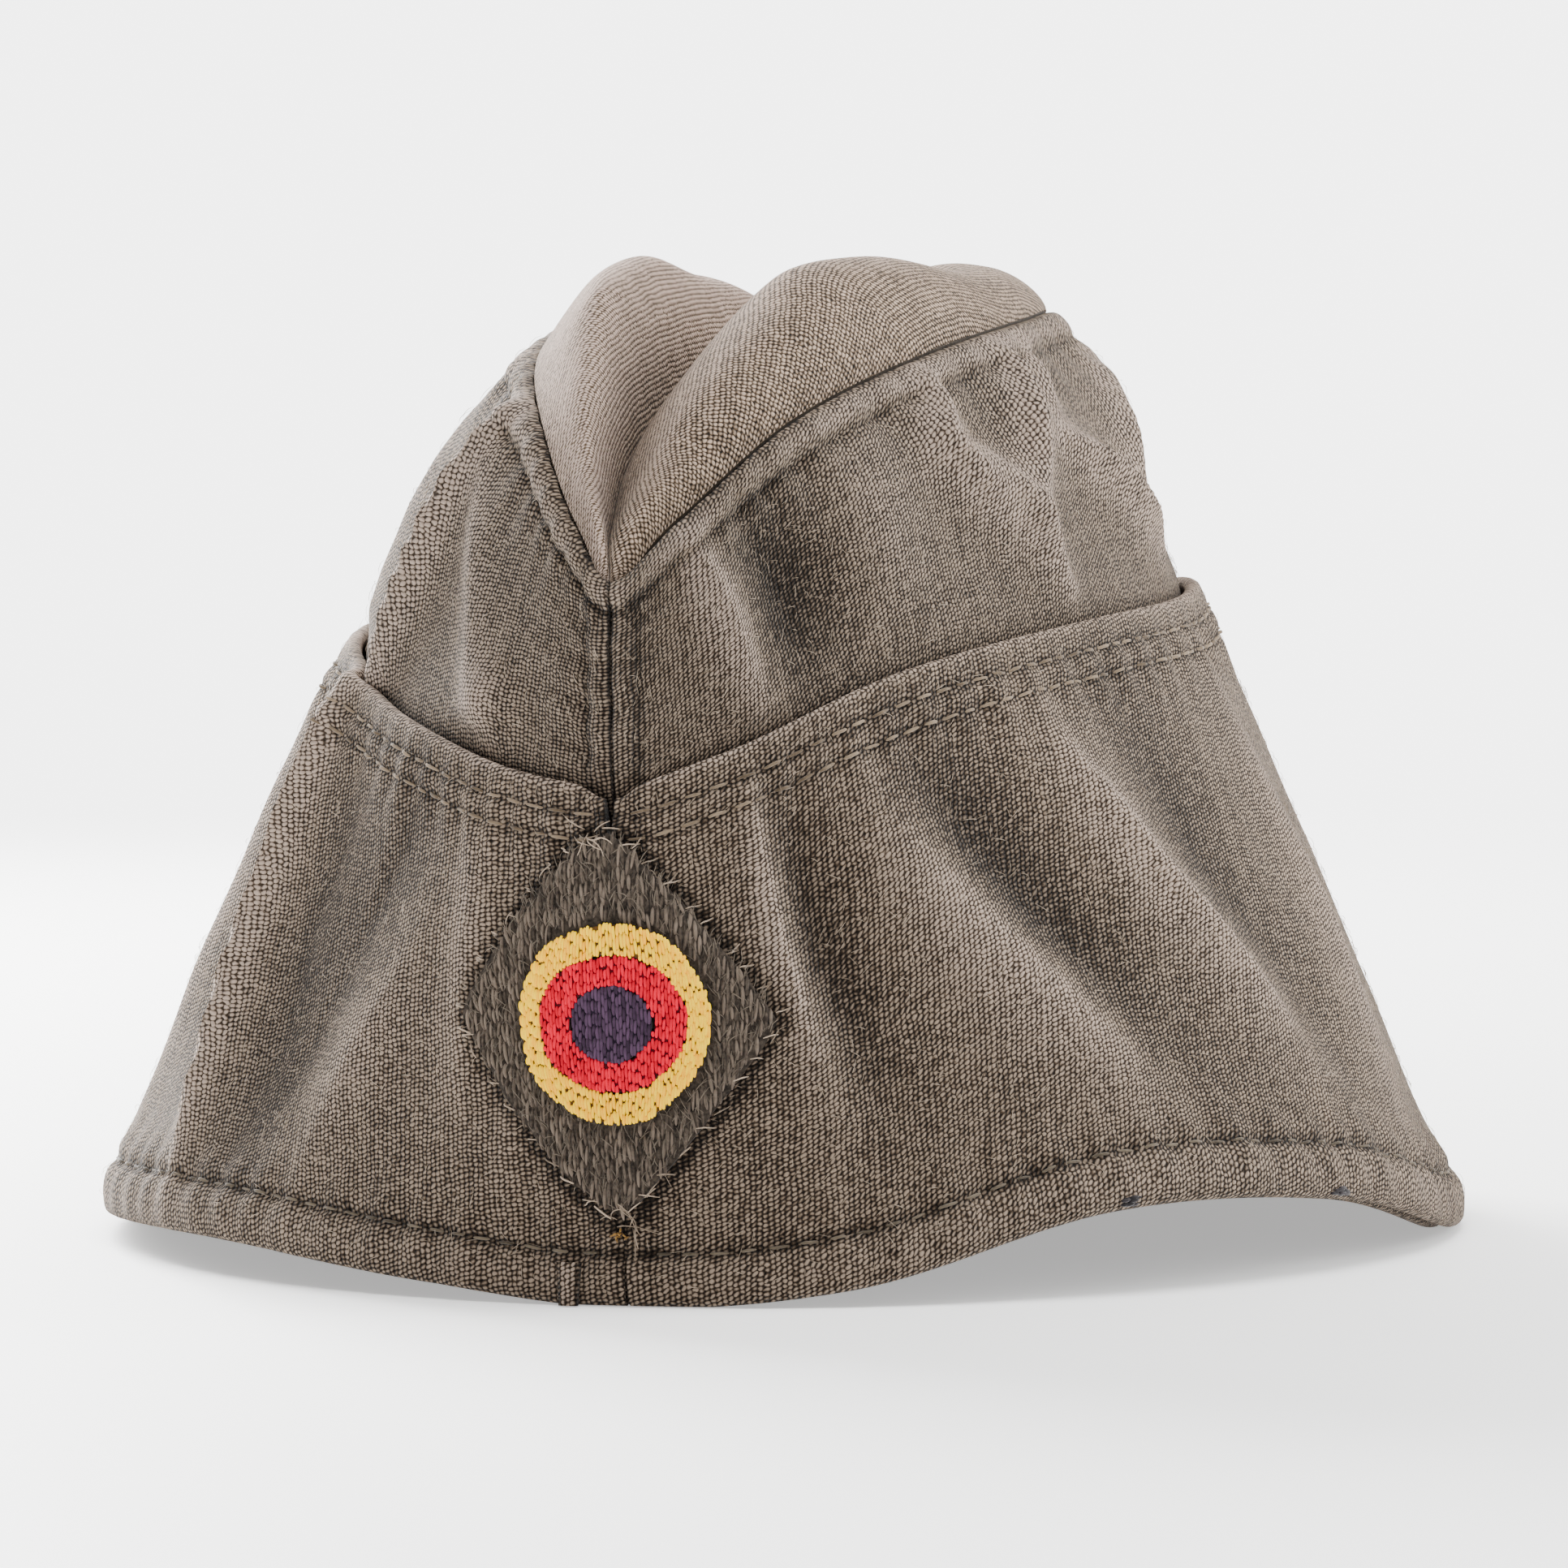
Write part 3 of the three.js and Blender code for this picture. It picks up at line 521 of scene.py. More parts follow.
def wall(side, run, up):
    """The wall outline in the cap's own frame, before it is moved to its place."""
    run, up = np.broadcast_arrays(np.asarray(run, float), np.asarray(up, float))
    length, left, right, point, lean = read_table(LEVELS, up, flat_ends=False)
    at = round_at(side, run)
    turn = np.pi * run
    half = half_width(side, left, right)
    return np.stack([
        side * (half * bow(point, turn) + GAP / 2) + lean * WIDTH * nearness(turn),
        -np.cos(turn) * length * LENGTH / 2,
        at["rim"] + (at["seam"] - at["rim"]) * up,
    ], -1)


widest = wall(1, np.linspace(0, 1, 201), 0)[:, 0].max()
PLACE = np.array([panel_high.x - widest, (panel_low.y + panel_high.y) / 2, 0])


def unit(vectors):
    return vectors / np.linalg.norm(vectors, axis=-1, keepdims=True)


def wall_facing(side, run, up):
    step = 0.001
    along = wall(side, run + step, up) - wall(side, run - step, up)
    across = wall(side, run, up + step) - wall(side, run, up - step)
    return unit(np.cross(along, across) * side)


def off_wall(side, run, up, height):
    return wall(side, run, up) + wall_facing(side, run, up) * height[..., None] + PLACE


def seam_distance(side, run, up):
    """Distance along the wall to the nearer of the front and back seams."""
    _, left, right, point, _ = read_table(LEVELS, up, flat_ends=False)
    pace = half_width(side, left, right) * (1 - point) * np.pi
    return np.minimum(run, 1 - run) * pace


def seam_calm(side, run, up):
    """Share of the folds left beside the front and back seams."""
    return smooth(SEAM_CALM / 9, SEAM_CALM, seam_distance(side, run, up))


def local_height(side, run):
    at = round_at(side, run)
    return at["seam"] - at["rim"]


def curtain_edge(side, run):
    """The curtain's upper edge, as a share of the wall's height."""
    return round_at(side, run)["curtain"]


def groove(distance, at, depth):
    return -depth * np.exp(-((distance - at) / GROOVE_WIDTH) ** 2)


def pucker(distance, along, seed):
    """Small waves across a stitched line, which die out away from it."""
    fade = np.exp(-(distance / (4.5 * MM)) ** 2)
    wave = np.sin(2 * np.pi * along / (6.5 * MM) + 2.2 * ripple(along, distance, 25 * MM, seed))
    return 0.32 * MM * fade * wave


def groove_shade(*distances):
    """Share of painted shade in stitched grooves, by the distance from each line."""
    return sum(np.exp(-(distance / (0.7 * MM)) ** 2) for distance in distances)


def roll(distance, width, rise, depth):
    """The round ridge of a seam, with the groove beside it."""
    share = np.minimum(1, distance / width)
    return rise * arched(0.08 + 0.92 * share) ** 0.8 + groove(distance, width, depth)


def panel_height(side, run, up):
    """How far the side panel's outer face stands off the wall outline."""
    edge = curtain_edge(side, run)
    under = up / edge
    above = (up - edge) / (1 - edge)
    hidden = smooth(0.02, 0.2, under) * (1 - smooth(0.86, 1.02, under))
    low = smooth(0, 0.12, above)
    low = low + (smooth(-0.06, 0, above) - low) * carried(side, run)
    shown = low * (1 - smooth(0.9, 1, above))
    along, high = run * CROWN_SPAN[0], above * CROWN_SPAN[1]
    folds = fold_height(CROWN_FOLDS, CROWN_SPAN, side, run, above)
    folds = folds + fold_height(CROWN_CREASES, CROWN_SPAN, side, run, above)
    folds = folds + 0.25 * MM * ripple(along, high, 14 * MM, side + 3)
    from_top = (1 - up) * local_height(side, run)
    from_end = seam_distance(side, run, up)
    ease = 1 - 0.5 * smooth(0.22, 0.42, run)
    seams = roll(from_top, ROLL_WIDTH, ROLL_RISE, GROOVE / 2) * ease
    seams = seams + pucker(from_top - ROLL_WIDTH, along, side + 6)
    ends = roll(from_end, STRIP_WIDTH, 0.8 * ROLL_RISE, 0.4 * GROOVE)
    ends = (ends + pucker(from_end - STRIP_WIDTH, high, side + 9)) * smooth(0, 0.12, above)
    return folds * shown + seams + ends * (1 - smooth(0.7, 0.9, above)) - TUCK * hidden


def curtain_height(side, run, up):
    """How far the curtain's inner face stands off the wall outline."""
    share = up / curtain_edge(side, run)
    ease = smooth(0.02, 0.22, share) * (1 - smooth(0.86, 1, share) * (1 - carried(side, run)))
    ease = ease * seam_calm(side, run, up)
    folds = fold_height(CURTAIN_FOLDS, CURTAIN_SPAN, side, run, share)
    return CURTAIN_GAP * (1 - 0.6 * smooth(0.92, 1, share)) + folds * ease


def curtain_face(side, run, up):
    """How far the curtain's outer face stands off the wall outline, with hem and rim stitching."""
    edge = curtain_edge(side, run)
    share = up / edge
    height = local_height(side, run)
    low = up * height
    high = (edge - up) * height
    end = seam_distance(side, run, up)
    along = run * CURTAIN_SPAN[0]
    calm = seam_calm(side, run, up)
    fine = fold_height(CURTAIN_CREASES, CURTAIN_SPAN, side, run, share) * calm
    fine = fine + 0.25 * MM * ripple(along, low, 16 * MM, side + 12) * calm
    fine = fine * (1 - smooth(0.9, 1, share))
    in_band = arched(np.clip(low / RIM_BAND, 0, 1))
    band = np.where(low < RIM_BAND, BAND_RISE * in_band, 0)
    hem = 0.25 * MM * (1 - smooth(HEM_LINES[1] - 1 * MM, HEM_LINES[1] + 1.5 * MM, high))
    lines = groove(low, RIM_BAND, 0.75 * GROOVE) + groove(end, STRIP_WIDTH, 0.15 * MM)
    for line in HEM_LINES:
        lines = lines + groove(high, line, 0.3 * MM)
    waves = pucker(high - HEM_LINES[1], along, side + 15) + pucker(low - RIM_BAND, along, side + 18)
    return curtain_height(side, run, up) + CURTAIN_CLOTH + fine + band + hem + lines + waves


def walked(points):
    """Distance from the first point, along each row of points."""
    steps = np.linalg.norm(np.diff(points, axis=1), axis=-1)
    return np.concatenate([np.zeros((len(steps), 1)), np.cumsum(steps, axis=1)], axis=1)


def tube_faces(index):
    """Quads of tubes; the last axis of index goes round a tube, the one before along it."""
    nxt = np.roll(index, -1, axis=-1)
    corners = [index[..., :-1, :], nxt[..., :-1, :], nxt[..., 1:, :], index[..., 1:, :]]
    return np.stack(corners, -1).reshape(-1, 4).tolist()


def closed_grid(outer, inner):
    """Points and faces of a closed sheet between two grids of points."""
    rows, width = outer.shape[:2]
    top = np.arange(rows * width).reshape(rows, width)
    under = top + rows * width
    upward = [top[:-1, :-1], top[:-1, 1:], top[1:, 1:], top[1:, :-1]]
    downward = [under[:-1, :-1], under[1:, :-1], under[1:, 1:], under[:-1, 1:]]
    faces = [quad for corners in (upward, downward)
             for quad in np.stack(corners, -1).reshape(-1, 4).tolist()]
    border = [int(i) for i in (*top[0, :], *top[1:, -1], *top[-1, -2::-1], *top[-2:0:-1, 0])]
    for a, b in zip(border, border[1:] + border[:1]):
        faces.append([b, a, a + rows * width, b + rows * width])
    return np.concatenate([outer.reshape(-1, 3), inner.reshape(-1, 3)]), faces


def mesh_object(name, points, faces, slot, uv=None, tone_and_painted_light=None, sharp=60):
    """A piece of the cap: a smooth mesh that rides on the root body."""
    mesh = bpy.data.meshes.new(name)
    mesh.from_pydata(np.asarray(points).reshape(-1, 3).tolist(), [], faces)
    if uv is not None:
        layer = mesh.uv_layers.new(name="weave")
        corner = np.empty(len(mesh.loops), dtype=np.int64)
        mesh.loops.foreach_get("vertex_index", corner)
        places = np.asarray(uv, dtype=np.float32).reshape(-1, 2)
        layer.data.foreach_set("uv", places[corner].ravel())
    if tone_and_painted_light is not None:
        attribute = mesh.attributes.new("tone_and_painted_light", "FLOAT", "POINT")
        attribute.data.foreach_set("value", np.asarray(tone_and_painted_light, dtype=np.float32).ravel())
    mesh.shade_smooth()
    mesh.set_sharp_from_angle(angle=math.radians(sharp))
    mesh.update()
    piece = bpy.data.objects.new(name, mesh)
    bpy.context.scene.collection.objects.link(piece)
    mesh.materials.append(MATERIALS[slot])
    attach(piece, "root")
    return piece


# Heights of the bands that have finer rows: at the rim, at the hem, under the top seam; and how far
# those of the side panel begin below the hem
RIM_ZONE, HEM_ZONE, TOP_ZONE = 9 * MM, 10 * MM, 7 * MM
OVERLAP = 5 * MM
# Places round the cap from the front to the back seam, closer together beside both seams
RUN_COLUMNS = np.concatenate([
    np.linspace(0, 0.05, 26),
    np.linspace(0.05, 0.95, 190)[1:-1],
    np.linspace(0.95, 1, 26),
])


def sleeve(side, top, rows, outer, inner, half_cloth):
    """A doubled sheet with round edges; top and rows are distances up the wall for each column."""
    arc = np.radians([0, 22, 45, 68])[:, None]
    run = RUN_COLUMNS[None, :]
    top, rows = top(run), rows(run)
    inset = half_cloth * (1 - np.cos(arc))
    place = np.concatenate([inset + 0 * run, rows, top - inset[::-1]])
    bulge = np.sin(arc) + 0 * run
    layer = np.concatenate([bulge, np.ones_like(rows), bulge[::-1]])
    place = np.concatenate([place, place[-2:0:-1]])
    layer = np.concatenate([layer, -layer[-2:0:-1]])
    up = place / local_height(side, run)
    run = np.broadcast_to(run, up.shape)
    face, back = outer(side, run, up), inner(side, run, up)
    points = off_wall(side, run, up, (face + back) / 2 + layer * (face - back) / 2)
    points[..., 2] = np.maximum(points[..., 2], 0)
    uv = np.stack([walked(wall(side, run, up)) * side, place], -1)
    index = np.arange(up.size).reshape(up.shape)
    nxt = np.roll(index, -1, axis=0)
    quads = np.stack([index[:, :-1], index[:, 1:], nxt[:, 1:], nxt[:, :-1]], -1).reshape(-1, 4)
    faces = (quads if side > 0 else quads[:, ::-1]).tolist()
    for column, forward in ((0, side > 0), (-1, side < 0)):
        ends = index[:, column].tolist()
        for row in range(len(ends) // 2):
            ring = list(dict.fromkeys((ends[row], ends[row + 1], ends[-row - 1], ends[-row])))
            faces.append(ring if forward else ring[::-1])
    return points, faces, uv, run, up


def curtain(name, side):
    half_cloth = CURTAIN_CLOTH / 2

    def top(run):
        edge = local_height(side, run) * curtain_edge(side, run)
        return edge - NOTCH * np.exp(-(run / 0.022) ** 2)

    def rows(run):
        low = np.linspace(half_cloth, RIM_ZONE, 17)[:, None] + 0 * run
        high = top(run) - np.linspace(HEM_ZONE, half_cloth, 23)[:, None]
        share = np.linspace(0, 1, 62)[1:-1, None]
        return np.concatenate([low, RIM_ZONE + (top(run) - (RIM_ZONE + HEM_ZONE)) * share, high])

    points, faces, uv, run, up = sleeve(side, top, rows, curtain_face, curtain_height, half_cloth)
    share = up / curtain_edge(side, run)
    low = up * local_height(side, run)
    edge = local_height(side, run) * (curtain_edge(side, run) - up)
    opening = SLIT_GAP * np.exp(-(run / 0.02) ** 2) * (1 - smooth(0, SLIT, edge))
    points[..., 0] += side * opening
    folds = fold_height(CURTAIN_FOLDS, CURTAIN_SPAN, side, run, share)
    folds = folds + 2 * fold_height(CURTAIN_CREASES, CURTAIN_SPAN, side, run, share)
    # Lighter on fold crests, the upper edge and the rim band, partly wear and partly painted light;
    # darker in fold valleys: painted shade
    tone_and_painted_light = 0.5 + folds / (6 * MM) + 0.35 * (1 - smooth(0, 2 * MM, edge))
    tone_and_painted_light = tone_and_painted_light + 0.15 * arched(np.clip(low / RIM_BAND, 0, 1))
    # Painted shade in the stitched grooves, and a painted shadow round the patch
    tone_and_painted_light = tone_and_painted_light - 0.36 * groove_shade(low - RIM_BAND)
    tone_and_painted_light = tone_and_painted_light - 0.1 * groove_shade(seam_distance(side, run, up) - STRIP_WIDTH)
    tone_and_painted_light = tone_and_painted_light - 0.26 * groove_shade(*[edge - line for line in HEM_LINES])
    patch_shade = np.exp(-((patch_reach(*front_place(side, run, up)) - 1.03) / 0.055) ** 2)
    tone_and_painted_light = np.clip(tone_and_painted_light - 0.5 * patch_shade, 0, 1)
    piece = mesh_object(f"{name}_cloth", points, faces, "curtain_cloth", uv, tone_and_painted_light)
    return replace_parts(piece, name)


def side_panel(name, side):
    half_cloth = CLOTH / 2

    def rows(run):
        height = local_height(side, run)
        edge = height * curtain_edge(side, run) - OVERLAP
        hidden = half_cloth + (edge - half_cloth) * np.linspace(0, 1, 20)[:-1, None]
        shown = edge + (height - TOP_ZONE - edge) * np.linspace(0, 1, 60)[:-1, None]
        high = height - np.linspace(TOP_ZONE, half_cloth, 20)[:, None]
        return np.concatenate([hidden, shown, high])

    def top(run):
        return local_height(side, run)

    def back(side, run, up):
        return panel_height(side, run, up) - CLOTH

    points, faces, uv, run, up = sleeve(side, top, rows, panel_height, back, half_cloth)
    uv[..., 1] = up * 0.85 * HEIGHT
    edge = curtain_edge(side, run)
    above = (up - edge) / (1 - edge)
    folds = fold_height(CROWN_FOLDS, CROWN_SPAN, side, run, above)
    folds = folds + 3 * fold_height(CROWN_CREASES, CROWN_SPAN, side, run, above)
    from_top = (1 - up) * local_height(side, run)
    ridge = arched(np.clip(from_top / ROLL_WIDTH, 0, 1))
    # Lighter on fold crests, partly wear and partly painted light, with a painted highlight on the
    # top seam's roll; darker in fold valleys and stitched grooves: painted shade
    tone_and_painted_light = 0.5 + folds / (6 * MM) + 0.3 * ridge - 0.25 * groove_shade(from_top - ROLL_WIDTH)
    tone_and_painted_light = tone_and_painted_light - 0.22 * groove_shade(seam_distance(side, run, up) - STRIP_WIDTH)
    piece = mesh_object(f"{name}_cloth", points, faces, "panel_cloth", uv, np.clip(tone_and_painted_light, 0, 1))
    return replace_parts(piece, name)


def top_edge(side, run):
    out = wall_facing(side, run, 1 + 0 * run)
    step = 0.002
    along = unit(wall(side, run + step, 1) - wall(side, run - step, 1))
    beyond = np.cross(out, along) * side
    return wall(side, run, 1) + beyond * GAP - out * SINK, out


def top_face(run, across):
    """The top panel's outer face; across is -1 at the seam on -X, 0 in the crease, 1 on +X."""
    left, _ = top_edge(-1, run)
    right, _ = top_edge(1, run)
    rightward = across >= 0
    edge = np.where(rightward[..., None], right, left)
    at_left, at_right = round_at(-1, run), round_at(1, run)
    rise = np.where(rightward, at_right["rise"], at_left["rise"])
    fold = left + (right - left) * at_left["crease"][..., None]
    from_end = np.minimum(run, 1 - run)
    fold[..., 2] -= at_left["dip"] * smooth(0.04, 0.15, from_end)
    to_fold = 1 - np.abs(across)
    point = edge + (fold - edge) * to_fold[..., None]
    lean = np.where(rightward, LOBE_LEAN[1], LOBE_LEAN[-1])
    lobe = arched(np.clip(to_fold, 0, 1) ** lean) ** 0.75
    soft = np.where(
        rightward,
        fold_height(LOBE_FOLDS, LOBE_SPAN, 1, run, to_fold),
        fold_height(LOBE_FOLDS, LOBE_SPAN, -1, run, to_fold),
    )
    soft = soft + 0.3 * MM * ripple(run * LOBE_SPAN[0], to_fold * LOBE_SPAN[1], 15 * MM, 21)
    point[..., 2] += rise * lobe + soft * lobe - POINT_SINK * (1 - smooth(0.015, 0.075, from_end))
    return point


def top_panel(name):
    lines = np.linspace(0, 1, 50) ** 0.8
    lines = np.concatenate([-lines[::-1], lines[1:]])
    lines = np.sign(lines) * (1 - (1 - np.abs(lines)) ** 1.25)
    share = np.linspace(0, 1, 230)
    run_line = TOP_FROM + (1 - 2 * TOP_FROM) * (share - 0.06 * arched(share))
    run, across = np.meshgrid(run_line, lines, indexing="ij")
    outer = top_face(run, across)
    along = top_face(run + 0.004, across) - top_face(run - 0.004, across)
    over = (top_face(run, np.clip(across + 0.01, -1, 1))
            - top_face(run, np.clip(across - 0.01, -1, 1)))
    up = unit(np.cross(over, along))
    inside = smooth(0, 0.2, 1 - np.abs(across))[..., None]
    out = np.where((across >= 0)[..., None], top_edge(1, run)[1], top_edge(-1, run)[1])
    away = unit(out * (1 - inside) + up * inside)
    points, faces = closed_grid(outer, outer - away * CLOTH)
    wide = walked(outer)
    middle = wide[:, len(lines) // 2][:, None]
    uv = np.stack([wide - middle, run * 0.98 * LENGTH], -1).reshape(-1, 2)
    # Lighter along the middle of each lobe, partly wear and partly painted light, and over the
    # whole lobe on -X: painted light
    tone_and_painted_light = 0.45 + 0.25 * arched(1 - np.abs(across)) + 0.3 * smooth(0, 0.08, -across)
    piece = mesh_object(f"{name}_cloth", points + PLACE, faces, "top_cloth",
                        np.tile(uv, (2, 1)), np.tile(tone_and_painted_light.ravel(), 2), 75)
    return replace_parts(piece, name)


def front_point(across, high, lift):
    """Points lifted off the outer face of the curtains' front, and the way they face."""
    across, high, lift = np.broadcast_arrays(across, high, lift)
    points, facings = np.zeros(across.shape + (3,)), np.zeros(across.shape + (3,))
    for side in (1, -1):
        run, up = np.full(across.shape, 0.05), np.full(across.shape, 0.3)
        for _ in range(6):
            at = round_at(side, run)
            up = (high - at["rim"]) / (at["seam"] - at["rim"])
            _, left, right, point, lean = read_table(LEVELS, up, flat_ends=False)
            shift = lean * WIDTH * (1 - nearness(np.pi * run))
            target = (np.abs(across) * PATCH_EASE + side * shift) / half_width(side, left, right)
            pace = (1 - point) + point * arched(run)
            run = np.arcsin(np.clip(target / pace, 0, 1)) / np.pi
        rise = curtain_height(side, run, up) + CURTAIN_CLOTH + PATCH_GAP + lift
        mine = (across >= 0 if side > 0 else across < 0)[..., None]
        placed = off_wall(side, run, up, rise) - np.array([side * GAP / 2, 0, 0])
        points = np.where(mine, placed, points)
        facings = np.where(mine, wall_facing(side, run, up), facings)
    return points, facings


def front_place(side, run, up):
    """front_point turned round: across and high over the patch for a place on the wall."""
    _, left, right, point, lean = read_table(LEVELS, up, flat_ends=False)
    turn = np.pi * run
    shift = lean * WIDTH * (1 - nearness(turn))
    across = (half_width(side, left, right) * bow(point, turn) - side * shift) / PATCH_EASE
    at = round_at(side, run)
    high = at["rim"] + (at["seam"] - at["rim"]) * up - PATCH_CENTRE
    return side * across, high + np.where(run > 0.3, HEIGHT, 0)


def on_patch(across, high, lift):
    return front_point(across, PATCH_CENTRE + high, lift)


def threads(name, paths, facings, radius, slot, sides, ends, flatten=1.0):
    """Many short threads in one mesh. paths is (threads, points, 3); radius is per thread."""
    paths, facings = np.asarray(paths), np.asarray(facings)
    count, length = paths.shape[:2]
    tangent = unit(np.gradient(paths, axis=1))
    side_way = unit(np.cross(tangent, facings))
    up_way = np.cross(side_way, tangent)
    share = np.linspace(0, 1, length)
    taper = ends + (1 - ends) * arched(share) ** 0.5
    size = (np.broadcast_to(radius, (count,))[:, None] * taper)[..., None, None]
    angle = 2 * np.pi * np.arange(sides) / sides
    ring = (side_way[:, :, None] * np.cos(angle)[:, None]
            + up_way[:, :, None] * np.sin(angle)[:, None] * flatten)
    points = paths[:, :, None] + ring * size
    index = np.arange(count * length * sides).reshape(count, length, sides)
    faces = tube_faces(index) + index[:, 0, ::-1].tolist() + index[:, -1].tolist()
    tint = np.repeat(random.random(count), length * sides)
    return mesh_object(name, points, faces, slot, None, tint, 80)


def patch_reach(across, high, margin=0.0):
    """How far out a place lies: 1 on the edge of the patch."""
    wide = np.abs(across) / (PATCH_WIDTH / 2 - margin)
    tall = np.abs(high) / (PATCH_HEIGHT / 2 - margin)
    power = np.where(across < 0, PATCH_ROUND[-1], PATCH_ROUND[1])
    return (wide ** power + tall ** power) ** (1 / power)


def rounded_patch(across, high):
    """A place in a straight-sided diamond, moved outwards to the patch's rounded sides."""
    straight = np.abs(across) / (PATCH_WIDTH / 2) + np.abs(high) / (PATCH_HEIGHT / 2)
    grow = np.maximum(straight, 1e-9) / np.maximum(patch_reach(across, high), 1e-9)
    return across * grow, high * grow


def patch_edge(share):
    """The outline of the patch from its top corner round to the right: across and high."""
    turn = np.mod(share, 1) * 4
    corner = np.array([(0, 1), (1, 0.02), (0, -1), (-1, 0.02), (0, 1)])
    corner = corner * (PATCH_WIDTH / 2, PATCH_HEIGHT / 2)
    low = np.minimum(turn.astype(int), 3)
    part = (turn - low)[..., None]
    place = corner[low] * (1 - part) + corner[low + 1] * part
    return np.stack(rounded_patch(place[..., 0], place[..., 1]), -1)


def patch(name):
    cells = 70
    a, b = np.meshgrid(np.linspace(0, 1, cells), np.linspace(0, 1, cells), indexing="ij")
    across, high = rounded_patch((b - a) * PATCH_WIDTH / 2, (a + b - 1) * PATCH_HEIGHT / 2)
    edge = np.minimum(np.minimum(a, 1 - a), np.minimum(b, 1 - b))
    grow = 1 - 0.014 * (1 + ripple(across, high, 7 * MM, 30)) * (1 - smooth(0, 0.12, edge))
    top = PATCH_CLOTH * (0.55 + 0.25 * smooth(0, 0.03, edge))
    outer, _ = on_patch(across * grow, high * grow, top)
    inner, _ = on_patch(across * grow, high * grow, 0 * top)
    points, faces = closed_grid(outer, inner)
    # A low value, darkest at the edge: painted shade on the ground between the strokes and along
    # the outline
    tint = np.tile(0.05 * smooth(0, 0.06, edge).ravel(), 2)
    piece = mesh_object(f"{name}_cloth", points, faces, "patch_cloth", None, tint)
    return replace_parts(piece, name)


def patch_threads(name, paths, *form):
    """Threads from lists of places across, high and lifted over the patch."""
    paths = np.array([np.broadcast_arrays(*path) for path in paths])
    across, high, lift = np.moveaxis(paths, 1, 0)
    points, facings = on_patch(across, high, lift)
    return threads(name, points, facings, *form)


def on_cloth(across, high, margin, clear):
    """Whether a place is inside the patch by a margin and clear of the cockade."""
    from_centre = math.hypot(across / RING_SQUEEZE, high)
    return patch_reach(across, high, margin) < 1 and from_centre > COCKADE / 2 + clear


def over_edge(x, y, edge, base, arch):
    """Lift of a thread that lies on the patch and goes over its edge down to the curtain."""
    on_top = 1 - smooth(edge, 1.06, patch_reach(x, y))
    rise = arch * arched(np.linspace(0, 1, len(x)))
    return -PATCH_GAP + base + (PATCH_CLOTH + PATCH_GAP) * on_top + rise


def patch_strokes(name):
    """Upright dark embroidery strokes over the patch, outside the cockade."""
    paths = []
    t = np.linspace(0, 1, 6)
    for column in np.arange(-PATCH_WIDTH / 2, PATCH_WIDTH / 2, STROKE_PITCH):
        start = -PATCH_HEIGHT / 2 - STROKE_LONG * random.random()
        while start < PATCH_HEIGHT / 2:
            size = STROKE_LONG * random.uniform(0.7, 1.25)
            if on_cloth(column, start + size / 2, 0.75 * MM, 0.35 * size):
                tilt = random.normal(0, 0.22 * MM)
                across = column + tilt * (t - 0.5) + random.normal(0, 0.06 * MM)
                arch = 0.30 * MM * arched(t) * random.uniform(0.6, 1.1)
                paths.append((across, start + size * t, PATCH_CLOTH * 0.75 + arch))
            start += size * 0.93
    radius = random.uniform(0.17, 0.25, len(paths)) * MM
    return patch_threads(name, paths, radius, "patch_cloth", 6, 0.3, 0.85)


def patch_fuzz(name):
    """Short loose fibres that stand off the patch."""
    t = np.linspace(0, 1, 5)
    paths = []
    while len(paths) < PATCH_FIBRES:
        across = random.uniform(-0.5, 0.5) * PATCH_WIDTH
        high = random.uniform(-0.5, 0.5) * PATCH_HEIGHT
        if not on_cloth(across, high, 0.4 * MM, 0.4 * MM):
            continue
        angle = random.normal(math.pi / 2, 0.45)
        size = random.uniform(0.8, 2.0) * MM
        bend = random.normal(0, 0.35 * MM)
        x = across + size * t * math.cos(angle) + bend * t ** 2 * math.sin(angle)
        y = high + size * t * math.sin(angle) - bend * t ** 2 * math.cos(angle)
        arch = random.uniform(0.25, 0.75) * MM * arched(0.15 + 0.7 * t)
        paths.append((x, y, PATCH_CLOTH * 0.8 + arch))
    radius = random.uniform(0.035, 0.06, PATCH_FIBRES) * MM
    return patch_threads(name, paths, radius, "fuzz_thread", 4, 0.4)


def whip_stitches(name):
    """Thin pale thread over the edge of the patch, slanted, some stitches with a second strand."""
    t = np.linspace(0, 1, 7)
    paths = []
    perimeter = 4 * math.hypot(PATCH_WIDTH, PATCH_HEIGHT) / 2
    number = int(perimeter / WHIP_PITCH)
    for index in range(number):
        share = (index + random.uniform(-0.2, 0.2)) / number
        place = patch_edge(np.array(share))
        right = place[0] > 0
        inward = -1 if right else 1
        for strand in range(2 if random.random() < 0.4 else 1):
            size = random.uniform(1.6, 2.3) * MM
            slope = (0.30 if right else -0.35) + random.normal(0, 0.22) + 0.5 * strand
            start = 0.60 + 0.2 * random.random()
            x = place[0] - inward * size * start + inward * size * t * math.cos(slope)
            y = place[1] + inward * size * (t - start) * math.sin(slope)
            y = y + random.normal(0, 0.15 * MM)
            paths.append((x, y, over_edge(x, y, 1.0, 0.1 * MM, 0.28 * MM)))
    radius = random.uniform(0.07, 0.115, len(paths)) * MM
    return patch_threads(name, paths, radius, "sewing_thread", 5, 0.6)


